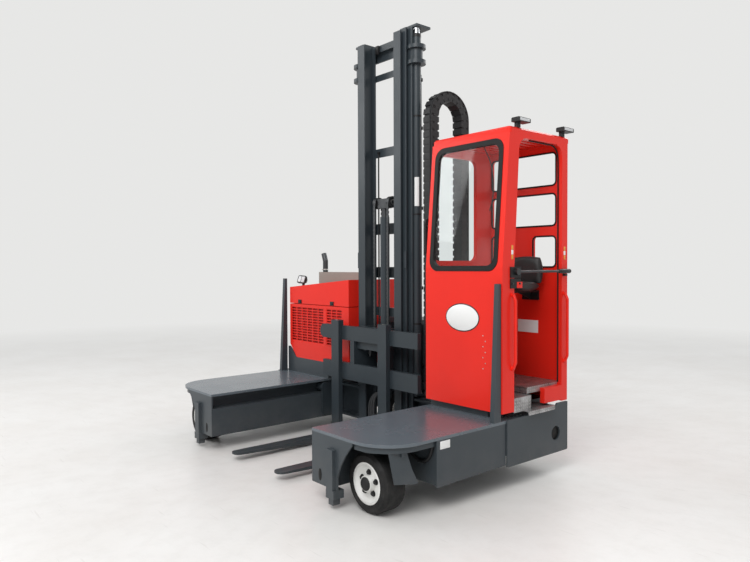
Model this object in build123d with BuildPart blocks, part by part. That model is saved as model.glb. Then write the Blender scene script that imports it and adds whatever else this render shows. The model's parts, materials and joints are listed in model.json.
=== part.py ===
"""Multidirectional forklift: U-shaped chassis, reach mast, cab on one arm, engine on the other.

Millimetres. +X is the cab's side, -Y is the forks' end, +Z is up and the ground is z = 0.
"""
import os
from math import atan2, cos, degrees, hypot, pi, radians, sin

from build123d import *

os.makedirs("parts", exist_ok=True)

# Chassis: two arms round an open bay, each with a deck on top.
front_y = -950.0
rear_y = 950.0
bay_half = 760.0
arm_width = 760.0
outer_x = bay_half + arm_width
deck_z = 500.0
deck_plate = 20.0
deck_corner = arm_width - 470.0
deck_joint = 3.0
under_z = deck_z - deck_plate
beam_width = 205.0
beam_x = bay_half + beam_width
beam_low = 131.0
channel_low = 371.0
channel_high = 477.0
channel_depth = 100.0
front_plate = 12.0
rear_plate = 20.0
band_height = 40.0
band_plate = 10.0
band_inset = 18.0
fit_gap = 3.0
clearance = 6.0

# Wheels: two steered front wheels and one steered drive wheel at the rear.
front_wheel_r = 200.0
front_wheel_w = 180.0
front_rim_r = 137.0
front_wheel_x = beam_x + 250.0
front_wheel_y = front_y + 200.0
drive_wheel_r = 228.0
drive_wheel_w = 178.0
drive_rim_r = 150.0
drive_wheel_y = rear_y - 260.0
spindle_r = 32.0
bore_gap = 0.05
bearing_gap = 0.3
knuckle_plate = 25.0

# Reach trolley and the three nested masts.
trolley_gap = 8.0
trolley_plate = 14.0
trolley_front = 215.0
trolley_back = 560.0
trolley_low = 150.0
trolley_high = 460.0
roller_r = 48.0
mast_top = 3650.0
mast_low = 90.0
mast_plate = 20.0
flange = 15.0
web = 12.0
inner_x = 200.0
inner_front_y = 318.0
inner_depth = 140.0
stage_front = 30.0
stage_back = 23.0
wheel_sweep_top = 480.0
cylinder_r = 38.0
rod_r = 28.0
cylinder_foot_z = 500.0
cylinder_top_z = mast_top - 50.0

# Free lift in the middle of the inner mast.
free_r = 42.0
free_rod_r = 28.0
free_foot_z = 150.0
free_top_z = 2050.0
sheave_z = 2180.0
sheave_r = 42.0
chain_x = 90.0
chain_w = 30.0
chain_t = 10.0
chain_pitch = 38.0

# Fork carriage and forks.
bar_front_y = 165.0
bar_t = 40.0
lower_bar_z = 567.0
lower_bar_h = 153.0
upper_bar_z = 930.0
upper_bar_h = 130.0
bar_left_x = 652.0
bar_right_x = -700.0
fork_w = 110.0
fork_t = 45.0
fork_low = 25.0
fork_tip_y = -936.0
fork_tip_t = 14.0
fork_top_z = 1110.0
fork_x = (260.0, -405.0)

# Cab on the left arm.
cab_in_x = bay_half + 5.0
cab_out_x = outer_x + 10.0
cab_front_y = 150.0
cab_back_y = 945.0
cab_low_z = deck_z + 55.0
cab_sill_z = 1593.0
cab_eave_z = 2560.0
cab_roof_z = cab_eave_z + 45.0
cab_rake = 80.0
cab_wall = 30.0
cab_post = 40.0
cab_floor_z = deck_z + 200.0
cab_floor_t = 45.0
screen_t = 30.0
glass_t = 6.0

# Engine housing on the right arm, with a lid over its front part.
hood_out_x = -(outer_x - 80.0)
hood_in_x = -425.0
hood_front_y = 300.0
hood_low_z = 655.0
hood_crease_z = 790.0
hood_out_z = 1390.0
hood_in_z = 1478.0
hood_seam_z = 1215.0
hood_wall = 12.0
lid_back_y = 620.0
lid_gap = 6.0


def block(x, y, z, mode=Mode.ADD):
    """A box between two limits on each axis."""
    with Locations(((x[0] + x[1]) / 2, (y[0] + y[1]) / 2, (z[0] + z[1]) / 2)):
        Box(abs(x[1] - x[0]), abs(y[1] - y[0]), abs(z[1] - z[0]), mode=mode)


def rod(start, end, radius, mode=Mode.ADD):
    """A round bar between two points."""
    axis = Vector(end) - Vector(start)
    with BuildSketch(Plane(origin=start, z_dir=axis.normalized())) as section:
        Circle(radius)
    extrude(section.sketch, amount=axis.length, mode=mode)


def save(builder, name):
    """Label a finished piece and write it under its name."""
    builder.part.label = name
    export_step(builder.part, f"parts/{name}.step")


# Chassis frame: an arm section with its roller channel, front plates with the wheel arch, and the
# rear cross frame over the drive wheel.
arch = (
    (front_wheel_x - 169.0, beam_low),
    (front_wheel_x - 169.0, 219.0),
    (front_wheel_x - 123.0, 318.0),
    (front_wheel_x - 8.0, 464.0),
)
drive_arch = 300.0
slot_x = bay_half + 95.0
slot_low = 158.0
slot_high = 237.0
slot_w = 26.0
mount_plate = 18.0
cross_t = 60.0
cross_front = 570.0

with BuildPart() as chassis_frame:
    with BuildSketch(Plane.XZ.offset(-rear_y)):
        with BuildLine():
            Polyline(
                (bay_half, beam_low),
                (beam_x, beam_low),
                (beam_x, under_z),
                (bay_half, under_z),
                (bay_half, channel_high),
                (bay_half + channel_depth, channel_high),
                (bay_half + channel_depth, channel_low),
                (bay_half, channel_low),
                close=True,
            )
        make_face()
        mirror(about=Plane.YZ)
    extrude(amount=rear_y - front_y)
    with BuildSketch(Plane.XZ.offset(-front_y - front_plate)):
        with BuildLine():
            Line((bay_half, beam_low), arch[0])
            Line(arch[0], arch[1])
            ThreePointArc(arch[1], arch[2], arch[3])
            Polyline(arch[3], (arch[3][0], under_z), (bay_half, under_z), (bay_half, beam_low))
        make_face()
        with Locations((slot_x, (slot_low + slot_high) / 2)):
            SlotOverall(slot_high - slot_low, slot_w, rotation=90, mode=Mode.SUBTRACT)
        mirror(about=Plane.YZ)
    extrude(amount=front_plate)
    # Rear wall with the drive wheel's arch, and the cross frame that carries its bearing.
    with BuildSketch(Plane.XZ.offset(-rear_y)):
        with Locations((0, (beam_low + under_z) / 2)):
            Rectangle(2 * beam_x, under_z - beam_low)
            Rectangle(2 * drive_arch, under_z - beam_low, mode=Mode.SUBTRACT)
    extrude(amount=rear_plate)
    block((-bay_half, bay_half), (cross_front, rear_y), (deck_z, deck_z + cross_t))
    for side in (-1, 1):
        for rib_y in (cross_front + 20, rear_y - 20):
            block(
                (side * (bay_half - 60), side * bay_half),
                (rib_y - 20, rib_y + 20),
                (channel_high, deck_z),
            )
    # Bearing plates over the front wheels and the ribs under the decks.
    for side in (-1, 1):
        block(
            (side * (beam_x - 1), side * (outer_x - 150)),
            (front_wheel_y - 120, front_wheel_y + 150),
            (under_z - mount_plate, under_z),
        )
        for rib_y in (-480.0, -60.0, 400.0, 900.0):
            block(
                (side * (beam_x - 1), side * (outer_x - 12)),
                (rib_y - 8, rib_y + 8),
                (180.0, under_z),
            )
save(chassis_frame, "chassis_frame")

# Deck plates with rounded outer front corners. A joint line parts the load deck from the rear deck.
band_end_y = front_y + 448.0
deck_back_y = rear_y - rear_plate
near_stop_y = 72.0
far_stop_y = 216.0

with BuildPart() as deck_plates:
    with BuildSketch(Plane.XY.offset(under_z)):
        with BuildLine():
            Polyline(
                (outer_x, front_y + deck_corner),
                (outer_x, deck_back_y),
                (bay_half, deck_back_y),
                (bay_half, front_y),
                (outer_x - deck_corner, front_y),
            )
            RadiusArc((outer_x - deck_corner, front_y), (outer_x, front_y + deck_corner), -deck_corner)
        make_face()
        mirror(about=Plane.YZ)
    extrude(amount=deck_plate)
    for side, joint_y in ((1, near_stop_y), (-1, far_stop_y)):
        block(
            (side * (bay_half - 1), side * (outer_x + 1)),
            (joint_y - clearance - deck_joint, joint_y - clearance),
            (deck_z - deck_joint, deck_z + 1),
            Mode.SUBTRACT,
        )
save(deck_plates, "deck_plates")

# The band follows the deck's corner, set back below its edge.
band_x = outer_x - band_inset
band_y = front_y + band_inset
band_r = deck_corner - band_inset

with BuildPart() as corner_bands:
    with BuildSketch(Plane.XY.offset(under_z - band_height)):
        with BuildLine():
            Line((arch[3][0], band_y), (band_x - band_r, band_y))
            RadiusArc((band_x - band_r, band_y), (band_x, band_y + band_r), -band_r)
            Polyline(
                (band_x, band_y + band_r),
                (band_x, band_end_y),
                (band_x - band_plate, band_end_y),
                (band_x - band_plate, band_y + band_r),
            )
            RadiusArc(
                (band_x - band_plate, band_y + band_r),
                (band_x - band_r, band_y + band_plate),
                band_r - band_plate,
            )
            Polyline(
                (band_x - band_r, band_y + band_plate),
                (arch[3][0], band_y + band_plate),
                (arch[3][0], band_y),
            )
        make_face()
        mirror(about=Plane.YZ)
    extrude(amount=band_height)
save(corner_bands, "corner_bands")

# Feet on the front plates: a bar, a block and a short leg.
foot_x = beam_x + 35.0
foot_leg_z = 32.0
foot_block_z = 75.0
foot_bar_top_z = 400.0

with BuildPart() as front_feet:
    for side in (-1, 1):
        block(
            (side * (foot_x - 40), side * (foot_x + 30)),
            (front_y - 28, front_y),
            (beam_low - 1, foot_bar_top_z),
        )
        block(
            (side * (foot_x - 42), side * (foot_x + 42)),
            (front_y - 28, front_y + 60),
            (foot_block_z, beam_low),
        )
        block(
            (side * (foot_x - 25), side * (foot_x + 25)),
            (front_y - 18, front_y + 40),
            (foot_leg_z, foot_block_z + 1),
        )
save(front_feet, "front_feet")

# Guard plates: each leans out from the band at the deck's corner and hangs beside the front wheel.
guard_front = (outer_x - 92.0, front_y + 111.0)
guard_rear = (outer_x - 54.0, front_y + 300.0)
guard_t = 8.0
guard_top_z = under_z - band_height

with BuildPart() as wheel_guards:
    guard_run = Vector(guard_rear[0] - guard_front[0], guard_rear[1] - guard_front[1], 0)
    guard_side = guard_run.cross(Vector(0, 0, 1))
    with BuildSketch(Plane(origin=(*guard_front, 0), x_dir=guard_run, z_dir=guard_side)):
        with BuildLine():
            Polyline(
                (0, guard_top_z),
                (40, 240),
                (guard_run.length + 30, 217),
                (guard_run.length - 22, 320),
                (guard_run.length - 62, guard_top_z),
                close=True,
            )
        make_face()
        fillet(vertices().group_by(Axis.Y)[0], radius=12)
    extrude(amount=guard_t)
    # A strap carries the plate from the deck's underside.
    block(
        (guard_rear[0] - 36, guard_rear[0] + 4),
        (guard_rear[1] - 110, guard_rear[1] - 90),
        (guard_top_z - 30, under_z),
    )
    mirror(about=Plane.YZ)
save(wheel_guards, "wheel_guards")

# Side skirts below the decks, and the rear side panels with their round hole.
skirt_t = 12.0
skirt_low = 173.0
panel_front_y = 204.0
panel_low = 165.0
panel_top = deck_z + 5.0
panel_rise_y = rear_y - 170.0
panel_rise = 40.0
hole_y = rear_y - 157.0
hole_z = 317.0
hole_r = 54.0

with BuildPart() as side_skirts:
    for side in (-1, 1):
        with BuildSketch(Plane.YZ.offset(side * (outer_x - skirt_t / 2) - skirt_t / 2)):
            with BuildLine():
                Polyline(
                    (band_end_y + 2, skirt_low),
                    (panel_front_y - 4, skirt_low + 8),
                    (panel_front_y - 4, under_z),
                    (band_end_y + 2, under_z),
                    close=True,
                )
            make_face()
        extrude(amount=skirt_t)
save(side_skirts, "side_skirts")

with BuildPart() as rear_side_panels:
    for side in (-1, 1):
        with BuildSketch(Plane.YZ.offset(side * (outer_x + skirt_t / 2) - skirt_t / 2)):
            with BuildLine():
                Polyline(
                    (panel_front_y, panel_low),
                    (panel_front_y, panel_top),
                    (panel_rise_y, panel_top),
                    (panel_rise_y + 30, panel_top + panel_rise),
                    (rear_y, panel_top + panel_rise),
                    (rear_y, panel_low),
                    close=True,
                )
            make_face()
            fillet(vertices(), radius=10)
            with Locations((hole_y, hole_z)):
                Circle(hole_r, mode=Mode.SUBTRACT)
        extrude(amount=skirt_t)
save(rear_side_panels, "rear_side_panels")

# Load stops: posts whose front face leans back, one at the back of each load deck.
post_top_z = 1480.0
post_w = 40.0
post_foot = 75.0
post_tip = 26.0

with BuildPart() as load_stops:
    for side, post_y in ((1, near_stop_y), (-1, far_stop_y)):
        with BuildSketch(Plane.YZ.offset(side * (outer_x - post_w / 2) - post_w / 2)):
            with BuildLine():
                Polyline(
                    (post_y, deck_z),
                    (post_y + post_foot - post_tip, post_top_z),
                    (post_y + post_foot, post_top_z),
                    (post_y + post_foot, deck_z),
                    close=True,
                )
            make_face()
        extrude(amount=post_w)
save(load_stops, "load_stops")

# Plinths on the rear decks: a box under the cab and an open tray under the engine housing.
plinth_front_y = cab_front_y + 50.0
plinth_inset = 5.0
tray_t = 12.0
tray_out_x = hood_out_x - 36.0
tray_back_y = rear_y - 8.0
hood_cut = 120.0

with BuildPart() as deck_plinths:
    block(
        (cab_in_x + plinth_inset, outer_x - 165),
        (plinth_front_y, cab_back_y - plinth_inset),
        (deck_z, cab_low_z),
    )
    for tray_y in (hood_front_y, tray_back_y - tray_t):
        with BuildSketch(Plane.XZ.offset(-tray_y - tray_t)):
            with BuildLine():
                Polyline(
                    (tray_out_x, deck_z),
                    (tray_out_x, hood_crease_z - 30),
                    (hood_out_x - fit_gap, hood_crease_z - 30),
                    (hood_out_x + hood_cut - fit_gap, hood_low_z - fit_gap),
                    (hood_out_x + hood_cut, hood_low_z),
                    (-bay_half, hood_low_z),
                    (-bay_half, deck_z),
                    close=True,
                )
            make_face()
        extrude(amount=tray_t)
    for tray_x in (tray_out_x, -bay_half - tray_t):
        block(
            (tray_x, tray_x + tray_t),
            (hood_front_y, tray_back_y),
            (deck_z, hood_low_z),
        )
save(deck_plinths, "deck_plinths")

# Counterweight over the drive wheel, between cab and engine.
weight_front_y = cross_front + 35.0
weight_h = 560.0
weight_x = (-360.0, 700.0)

with BuildPart() as counterweight:
    with BuildSketch(Plane.XY.offset(deck_z + cross_t)):
        with Locations(((weight_x[0] + weight_x[1]) / 2, (weight_front_y + cab_back_y) / 2)):
            RectangleRounded(weight_x[1] - weight_x[0], cab_back_y - weight_front_y, 60)
    extrude(amount=weight_h)
    chamfer(edges().group_by(Axis.Z)[-1], length=40)
save(counterweight, "counterweight")

# Engine: one plain block on the right arm.
with BuildPart() as engine_block:
    block((hood_out_x + 140, -bay_half - 25), (hood_front_y + 90, hood_front_y + 440), (deck_z, 1120))
    fillet(edges().filter_by(Axis.Z), radius=40)
save(engine_block, "engine_block")


# Engine housing: the cross-section is a box with a sloped roof and a cut lower outer corner.
def hood_outline(inset=0.0, low=hood_low_z):
    """The housing's outline in the XZ plane, moved inwards by inset."""
    slope = (hood_in_z - hood_out_z) / (hood_in_x - hood_out_x)
    rise = inset * hypot(1, slope)
    left = hood_out_x + inset
    right = hood_in_x - inset
    Polyline(
        (left + hood_cut, low),
        (right, low),
        (right, hood_in_z - inset * slope - rise),
        (left, hood_out_z + inset * slope - rise),
        (left, hood_crease_z),
        close=True,
    )


def hood_roof_at(x):
    """The housing's roof height at an x."""
    return hood_out_z + (x - hood_out_x) * (hood_in_z - hood_out_z) / (hood_in_x - hood_out_x)


hinge_places = (-1250.0, -600.0)
hinge_r = 10.0
hinge_rise = 11.0
hinge_leaf_t = 8.0
hinge_pin_r = 5.0
hinge_half = 25.0
hinge_leaf = 22.0
roof_slope = (hood_in_z - hood_out_z) / (hood_in_x - hood_out_x)


def hinge_plane(x, along):
    """A plane across the hinge line at an x, moved along the line; its x axis runs to the rear."""
    line = Vector(1, 0, roof_slope).normalized()
    origin = Vector(x, lid_back_y, hood_roof_at(x) + hinge_rise) + line * along
    return Plane(origin=origin, x_dir=(0, 1, 0), z_dir=line)


grille_low_z = hood_crease_z + 35.0
grille_high_z = hood_seam_z - 25.0
grille_table = (
    # left, right, columns
    (hood_out_x + 25.0, hood_out_x + 610.0, 6),
    (hood_out_x + 650.0, hood_out_x + 910.0, 3),
)
grille_rows = 13
grille_bar = 9.0
grille_t = 8.0

with BuildPart() as engine_housing:
    with BuildSketch(Plane.XZ.offset(-rear_y)):
        with BuildLine():
            hood_outline()
        make_face()
    extrude(amount=rear_y - hood_front_y)
    with BuildSketch(Plane.XZ.offset(-(rear_y - hood_wall))):
        with BuildLine():
            hood_outline(hood_wall, hood_low_z - 1)
        make_face()
    extrude(amount=rear_y - hood_front_y - 2 * hood_wall, mode=Mode.SUBTRACT)
    block(
        (hood_out_x - 1, hood_in_x + 1),
        (hood_front_y - 1, lid_back_y),
        (hood_seam_z, hood_in_z + 1),
        Mode.SUBTRACT,
    )
    for left, right, columns in grille_table:
        block(
            (left, right),
            (hood_front_y - 1, hood_front_y + hood_wall + 1),
            (grille_low_z, grille_high_z),
            Mode.SUBTRACT,
        )
    # Hinge lugs for the lid, on a line that follows the roof's slope.
    for hinge_x in hinge_places:
        with BuildSketch(hinge_plane(hinge_x, -hinge_half)):
            Circle(hinge_r)
            with Locations((hinge_r / 2, hinge_leaf_t / 2 - hinge_rise)):
                Rectangle(2 * hinge_r, hinge_leaf_t)
            Circle(hinge_pin_r + bore_gap, mode=Mode.SUBTRACT)
        extrude(amount=2 * hinge_half)
save(engine_housing, "engine_housing")

with BuildPart() as grilles:
    for left, right, columns in grille_table:
        slot_run = (right - left - grille_bar) / columns
        slot_rise = (grille_high_z - grille_low_z - grille_bar) / grille_rows
        with BuildSketch(Plane.XZ.offset(-hood_front_y - 2 - grille_t)):
            with Locations(((left + right) / 2, (grille_low_z + grille_high_z) / 2)):
                Rectangle(right - left, grille_high_z - grille_low_z)
                with GridLocations(slot_run, slot_rise, columns, grille_rows):
                    Rectangle(slot_run - grille_bar, slot_rise - grille_bar, mode=Mode.SUBTRACT)
        extrude(amount=grille_t)
save(grilles, "grilles")

with BuildPart() as hood_lid:
    with BuildSketch(Plane.XZ.offset(-(lid_back_y - lid_gap))):
        with BuildLine():
            hood_outline()
        make_face()
    extrude(amount=lid_back_y - lid_gap - hood_front_y)
    with BuildSketch(Plane.XZ.offset(-(lid_back_y + 1))):
        with BuildLine():
            hood_outline(hood_wall, hood_low_z - 1)
        make_face()
    extrude(amount=lid_back_y + 1 - hood_front_y - hood_wall, mode=Mode.SUBTRACT)
    block(
        (hood_out_x - 1, hood_in_x + 1),
        (hood_front_y - 1, lid_back_y + 1),
        (hood_low_z - 2, hood_seam_z + lid_gap),
        Mode.SUBTRACT,
    )
    for hinge_x in hinge_places:
        for along in (-hinge_half - hinge_leaf, hinge_half + bearing_gap):
            with BuildSketch(hinge_plane(hinge_x, along)):
                Circle(hinge_r)
                with Locations((-2 * hinge_r, hinge_leaf_t / 2 - hinge_rise)):
                    Rectangle(4 * hinge_r, hinge_leaf_t)
            extrude(amount=hinge_leaf - bearing_gap)
        with BuildSketch(hinge_plane(hinge_x, -hinge_half - 1)):
            Circle(hinge_pin_r)
        extrude(amount=2 * hinge_half + 2)
save(hood_lid, "hood_lid")

# Air box, exhaust pipe and work lamp on top.
air_box_x = (hood_out_x + 40.0, hood_out_x + 750.0)
air_box_front_y = lid_back_y + 20.0
air_box_top_z = 1546.0
pipe_x = hood_out_x + 80.0
pipe_y = air_box_front_y + 70.0
pipe_bend_z = air_box_top_z + 120.0
pipe_top_z = air_box_top_z + 200.0

with BuildPart() as air_box:
    with BuildSketch(Plane.XZ.offset(-air_box_front_y - 130)):
        with BuildLine():
            Polyline(
                (air_box_x[0], hood_roof_at(air_box_x[0])),
                (air_box_x[0], air_box_top_z),
                (air_box_x[1], air_box_top_z),
                (air_box_x[1], hood_roof_at(air_box_x[1])),
                close=True,
            )
        make_face()
    extrude(amount=130)
    fillet(edges().filter_by(Axis.Z), radius=20)
save(air_box, "air_box")

with BuildPart() as exhaust_pipe:
    with BuildLine() as exhaust_path:
        Polyline(
            (pipe_x, pipe_y, air_box_top_z),
            (pipe_x, pipe_y, pipe_bend_z),
            (pipe_x - 30, pipe_y, pipe_top_z),
        )
    with BuildSketch(Plane(origin=(pipe_x, pipe_y, air_box_top_z), z_dir=(0, 0, 1))):
        Circle(28)
        Circle(24, mode=Mode.SUBTRACT)
    sweep(path=exhaust_path.line, transition=Transition.ROUND)
save(exhaust_pipe, "exhaust_pipe")

# The lamp hangs in a tilted shell on a stalk.
lamp_x = hood_out_x + 70.0
lamp_y = 400.0
lamp_rise = 75.0
lamp_w = 110.0
lamp_h = 86.0

with BuildPart() as work_lamp:
    lamp_plane = Plane(
        origin=(lamp_x, lamp_y, hood_roof_at(lamp_x) + lamp_rise),
        x_dir=(1, 0, 0),
        z_dir=(0.25, -1, 0.35),
    )
    with BuildSketch(lamp_plane.offset(-20)):
        RectangleRounded(lamp_w, lamp_h, 18)
    with BuildSketch(lamp_plane.offset(-60)):
        RectangleRounded(lamp_w * 0.6, lamp_h * 0.5, 12)
    loft()
    with BuildSketch(lamp_plane.offset(-20)):
        RectangleRounded(lamp_w, lamp_h, 18)
    extrude(amount=20)
    block(
        (lamp_x - 10, lamp_x + 10),
        (lamp_y + 15, lamp_y + 35),
        (hood_roof_at(lamp_x + 10), hood_roof_at(lamp_x) + lamp_rise - 10),
    )
save(work_lamp, "work_lamp")


# Cab: the side outline leans back above the sill.
def cab_side_outline(low=cab_low_z):
    """The cab's side outline in the YZ plane."""
    Polyline(
        (cab_front_y, low),
        (cab_front_y, cab_sill_z),
        (cab_front_y + cab_rake, cab_eave_z),
        (cab_back_y, cab_eave_z),
        (cab_back_y, low),
        close=True,
    )


door_front_y = cab_front_y + 133.0
door_back_y = cab_back_y - 73.0
door_top_z = cab_eave_z - 25.0
sill_front_y = door_front_y + 367.0
sill_top_z = cab_floor_z - 20.0
window_low_z = 1650.0
window_back_y = cab_back_y - 225.0

with BuildPart() as cab_door_frame:
    with BuildSketch(Plane.YZ.offset(cab_out_x - cab_post)):
        with BuildLine():
            cab_side_outline()
        make_face()
    extrude(amount=cab_post)
    # The doorway is open down to the deck in front and has a sill block behind.
    with BuildSketch(Plane.YZ.offset(cab_out_x - cab_post)):
        with BuildLine():
            Polyline(
                (door_front_y, cab_low_z + 60),
                (door_front_y, cab_sill_z),
                (door_front_y + cab_rake * 0.75, door_top_z),
                (door_back_y, door_top_z),
                (door_back_y, cab_low_z + 60),
                close=True,
            )
        make_face()
        fillet(vertices().group_by(Axis.Y)[-1], radius=90)
    extrude(amount=cab_post, mode=Mode.SUBTRACT)
    block(
        (cab_out_x - cab_post, cab_out_x),
        (door_front_y, door_back_y),
        (cab_low_z - 1, sill_top_z),
        Mode.SUBTRACT,
    )
    block((cab_out_x - cab_post, cab_out_x), (sill_front_y, door_back_y), (cab_low_z + 10, sill_top_z))
save(cab_door_frame, "cab_door_frame")

with BuildPart() as cab_inner_side:
    with BuildSketch(Plane.YZ.offset(cab_in_x)):
        with BuildLine():
            cab_side_outline()
        make_face()
    extrude(amount=cab_wall)
    with BuildSketch(Plane.YZ.offset(cab_in_x)):
        with BuildLine():
            Polyline(
                (cab_front_y + 45, window_low_z),
                (cab_front_y + cab_rake + 40, cab_eave_z - 70),
                (window_back_y, cab_eave_z - 70),
                (window_back_y, window_low_z),
                close=True,
            )
        make_face()
        fillet(vertices(), radius=60)
    extrude(amount=cab_wall, mode=Mode.SUBTRACT)
save(cab_inner_side, "cab_inner_side")

# Front wall: a flat lower panel, and a leaning upper part cut for the screen.
wall_in_x = cab_in_x + cab_wall
wall_out_x = cab_out_x - cab_post
screen_low_z = cab_sill_z - 25.0
screen_high_z = cab_eave_z - 30.0
screen_in_x = wall_in_x + 10
screen_out_x = wall_out_x - 6
screen_corner = 85.0
rubber_w = 38.0

with BuildPart() as cab_front_panel:
    with BuildSketch(Plane.YZ.offset(wall_in_x)):
        with BuildLine():
            Polyline(
                (cab_front_y, cab_low_z),
                (cab_front_y, cab_sill_z),
                (cab_front_y + cab_rake, cab_eave_z),
                (cab_front_y + cab_rake + screen_t, cab_eave_z),
                (cab_front_y + screen_t, cab_sill_z),
                (cab_front_y + screen_t, cab_low_z),
                close=True,
            )
        make_face()
    extrude(amount=wall_out_x - wall_in_x)
    with BuildSketch(Plane.XZ.offset(-cab_front_y - 300)):
        with Locations(((screen_in_x + screen_out_x) / 2, (screen_low_z + screen_high_z) / 2)):
            RectangleRounded(screen_out_x - screen_in_x, screen_high_z - screen_low_z, screen_corner)
    extrude(amount=400, mode=Mode.SUBTRACT)
save(cab_front_panel, "cab_front_panel")

lean = degrees(atan2(cab_rake, cab_eave_z - cab_sill_z))
screen_plane = Plane(
    origin=(0, cab_front_y, cab_sill_z),
    x_dir=(1, 0, 0),
    z_dir=(0, -cos(radians(lean)), sin(radians(lean))),
)
screen_mid = (
    (screen_in_x + screen_out_x) / 2,
    ((screen_low_z + screen_high_z) / 2 - cab_sill_z) / cos(radians(lean)),
)
screen_size = (
    screen_out_x - screen_in_x - 1,
    (screen_high_z - screen_low_z) / cos(radians(lean)) - 6,
)

with BuildPart() as screen_rubber:
    with BuildSketch(screen_plane.offset(-screen_t + 4)):
        with Locations(screen_mid):
            RectangleRounded(screen_size[0], screen_size[1], screen_corner)
            RectangleRounded(
                screen_size[0] - 2 * rubber_w,
                screen_size[1] - 2 * rubber_w,
                screen_corner - rubber_w / 2,
                mode=Mode.SUBTRACT,
            )
    extrude(amount=screen_t)
save(screen_rubber, "screen_rubber")

with BuildPart() as front_glass:
    with BuildSketch(screen_plane.offset(-12)):
        with Locations(screen_mid):
            RectangleRounded(
                screen_size[0] - 2 * rubber_w,
                screen_size[1] - 2 * rubber_w,
                screen_corner - rubber_w / 2,
            )
    extrude(amount=glass_t)
save(front_glass, "front_glass")

# Rear wall: bars between rounded openings.
lookout_left = cab_out_x - 302.0
lookout_right = wall_out_x - 45.0
rear_holes = (
    # left, right, low, high
    (lookout_left, lookout_right, cab_sill_z + 4, cab_sill_z + 249),
    (wall_in_x + 8, lookout_left - 240, cab_sill_z + 4, cab_sill_z + 262),
    (wall_in_x + 8, lookout_right, cab_sill_z + 332, cab_sill_z + 585),
    (wall_in_x + 8, lookout_right, cab_sill_z + 650, cab_eave_z - 60),
)

with BuildPart() as cab_rear_wall:
    with BuildSketch(Plane.XZ.offset(-cab_back_y)):
        with Locations(((wall_in_x + wall_out_x) / 2, (cab_low_z + cab_eave_z) / 2)):
            Rectangle(wall_out_x - wall_in_x, cab_eave_z - cab_low_z)
        for left, right, low, high in rear_holes:
            with Locations(((left + right) / 2, (low + high) / 2)):
                RectangleRounded(right - left, high - low, 30, mode=Mode.SUBTRACT)
    extrude(amount=cab_wall)
save(cab_rear_wall, "cab_rear_wall")

roof_overhang = 25.0
roof_front_y = cab_front_y + cab_rake
roof_rib = 28.0
roof_rib_pitch = 70.0

with BuildPart() as cab_roof:
    with BuildSketch(Plane.XY.offset(cab_eave_z)):
        with Locations(((cab_in_x + cab_out_x) / 2, (roof_front_y + cab_back_y + roof_overhang) / 2)):
            RectangleRounded(cab_out_x - cab_in_x, cab_back_y + roof_overhang - roof_front_y, 25)
    extrude(amount=cab_roof_z - cab_eave_z)
    chamfer(edges().group_by(Axis.Z)[-1], length=14)
    for step in range(9):
        rib_x = wall_in_x + 60 + step * roof_rib_pitch
        block(
            (rib_x, rib_x + roof_rib),
            (roof_front_y + 60, cab_back_y - 60),
            (cab_eave_z - 1, cab_eave_z + 18),
            Mode.SUBTRACT,
        )
save(cab_roof, "cab_roof")

# Floor with a step well behind the doorway's front half.
well_x = cab_out_x - 180.0
well_back_y = door_front_y + 205.0
tread_z = cab_floor_z - 50.0
tread_t = 10.0

with BuildPart() as cab_floor:
    block(
        (wall_in_x, wall_out_x),
        (cab_front_y + screen_t, cab_back_y - cab_wall),
        (cab_floor_z - cab_floor_t, cab_floor_z),
    )
    block(
        (well_x, wall_out_x + 1),
        (cab_front_y + screen_t + 20, well_back_y),
        (cab_floor_z - cab_floor_t - 1, cab_floor_z + 1),
        Mode.SUBTRACT,
    )
save(cab_floor, "cab_floor")

# Steps: the well's tread with its riser, and a bracket step that hangs out of the doorway.
bracket_front_y = door_front_y + 127.0
bracket_back_y = door_front_y + 447.0
bracket_z = cab_low_z - 10.0
bracket_out_x = cab_out_x + 40.0

with BuildPart() as door_step:
    block((well_x - 20, cab_out_x - 2), (door_front_y + 2, well_back_y - 2), (tread_z - tread_t, tread_z))
    block((cab_out_x - 14, cab_out_x - 2), (door_front_y + 2, well_back_y - 2), (cab_low_z - 10, tread_z))
    block((well_x - 20, well_x - 8), (door_front_y + 2, well_back_y - 2), (cab_low_z, tread_z))
    block(
        (cab_out_x - 160, bracket_out_x),
        (bracket_front_y, bracket_back_y),
        (bracket_z - 8, bracket_z),
    )
    block((bracket_out_x - 8, bracket_out_x), (bracket_front_y, bracket_back_y), (bracket_z - 30, bracket_z))
    block((cab_out_x - 160, cab_out_x - 152), (bracket_front_y, bracket_back_y), (deck_z, bracket_z))
save(door_step, "door_step")

# Seat: a back and a cushion that hang from the rear wall on a bracket.
seat_x = (cab_out_x - 440.0, cab_out_x - 130.0)
seat_back_y = cab_back_y - 90.0
seat_back_t = 60.0
seat_low_z = cab_sill_z - 183.0
seat_cushion_z = seat_low_z + 70.0
seat_top_z = cab_sill_z + 90.0
seat_front_y = seat_back_y - 330.0

with BuildPart() as seat:
    with BuildSketch(Plane.YZ.offset(seat_x[0])):
        with BuildLine():
            Polyline(
                (seat_front_y + 20, seat_low_z),
                (seat_front_y, seat_cushion_z),
                (seat_back_y - seat_back_t - 20, seat_cushion_z),
                (seat_back_y - seat_back_t, seat_top_z),
                (seat_back_y, seat_top_z),
                (seat_back_y - 20, seat_low_z),
                close=True,
            )
        make_face()
        fillet(vertices(), radius=22)
    extrude(amount=seat_x[1] - seat_x[0])
save(seat, "seat")

seat_bracket_x = (cab_out_x - 400.0, cab_out_x - 240.0)

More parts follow.
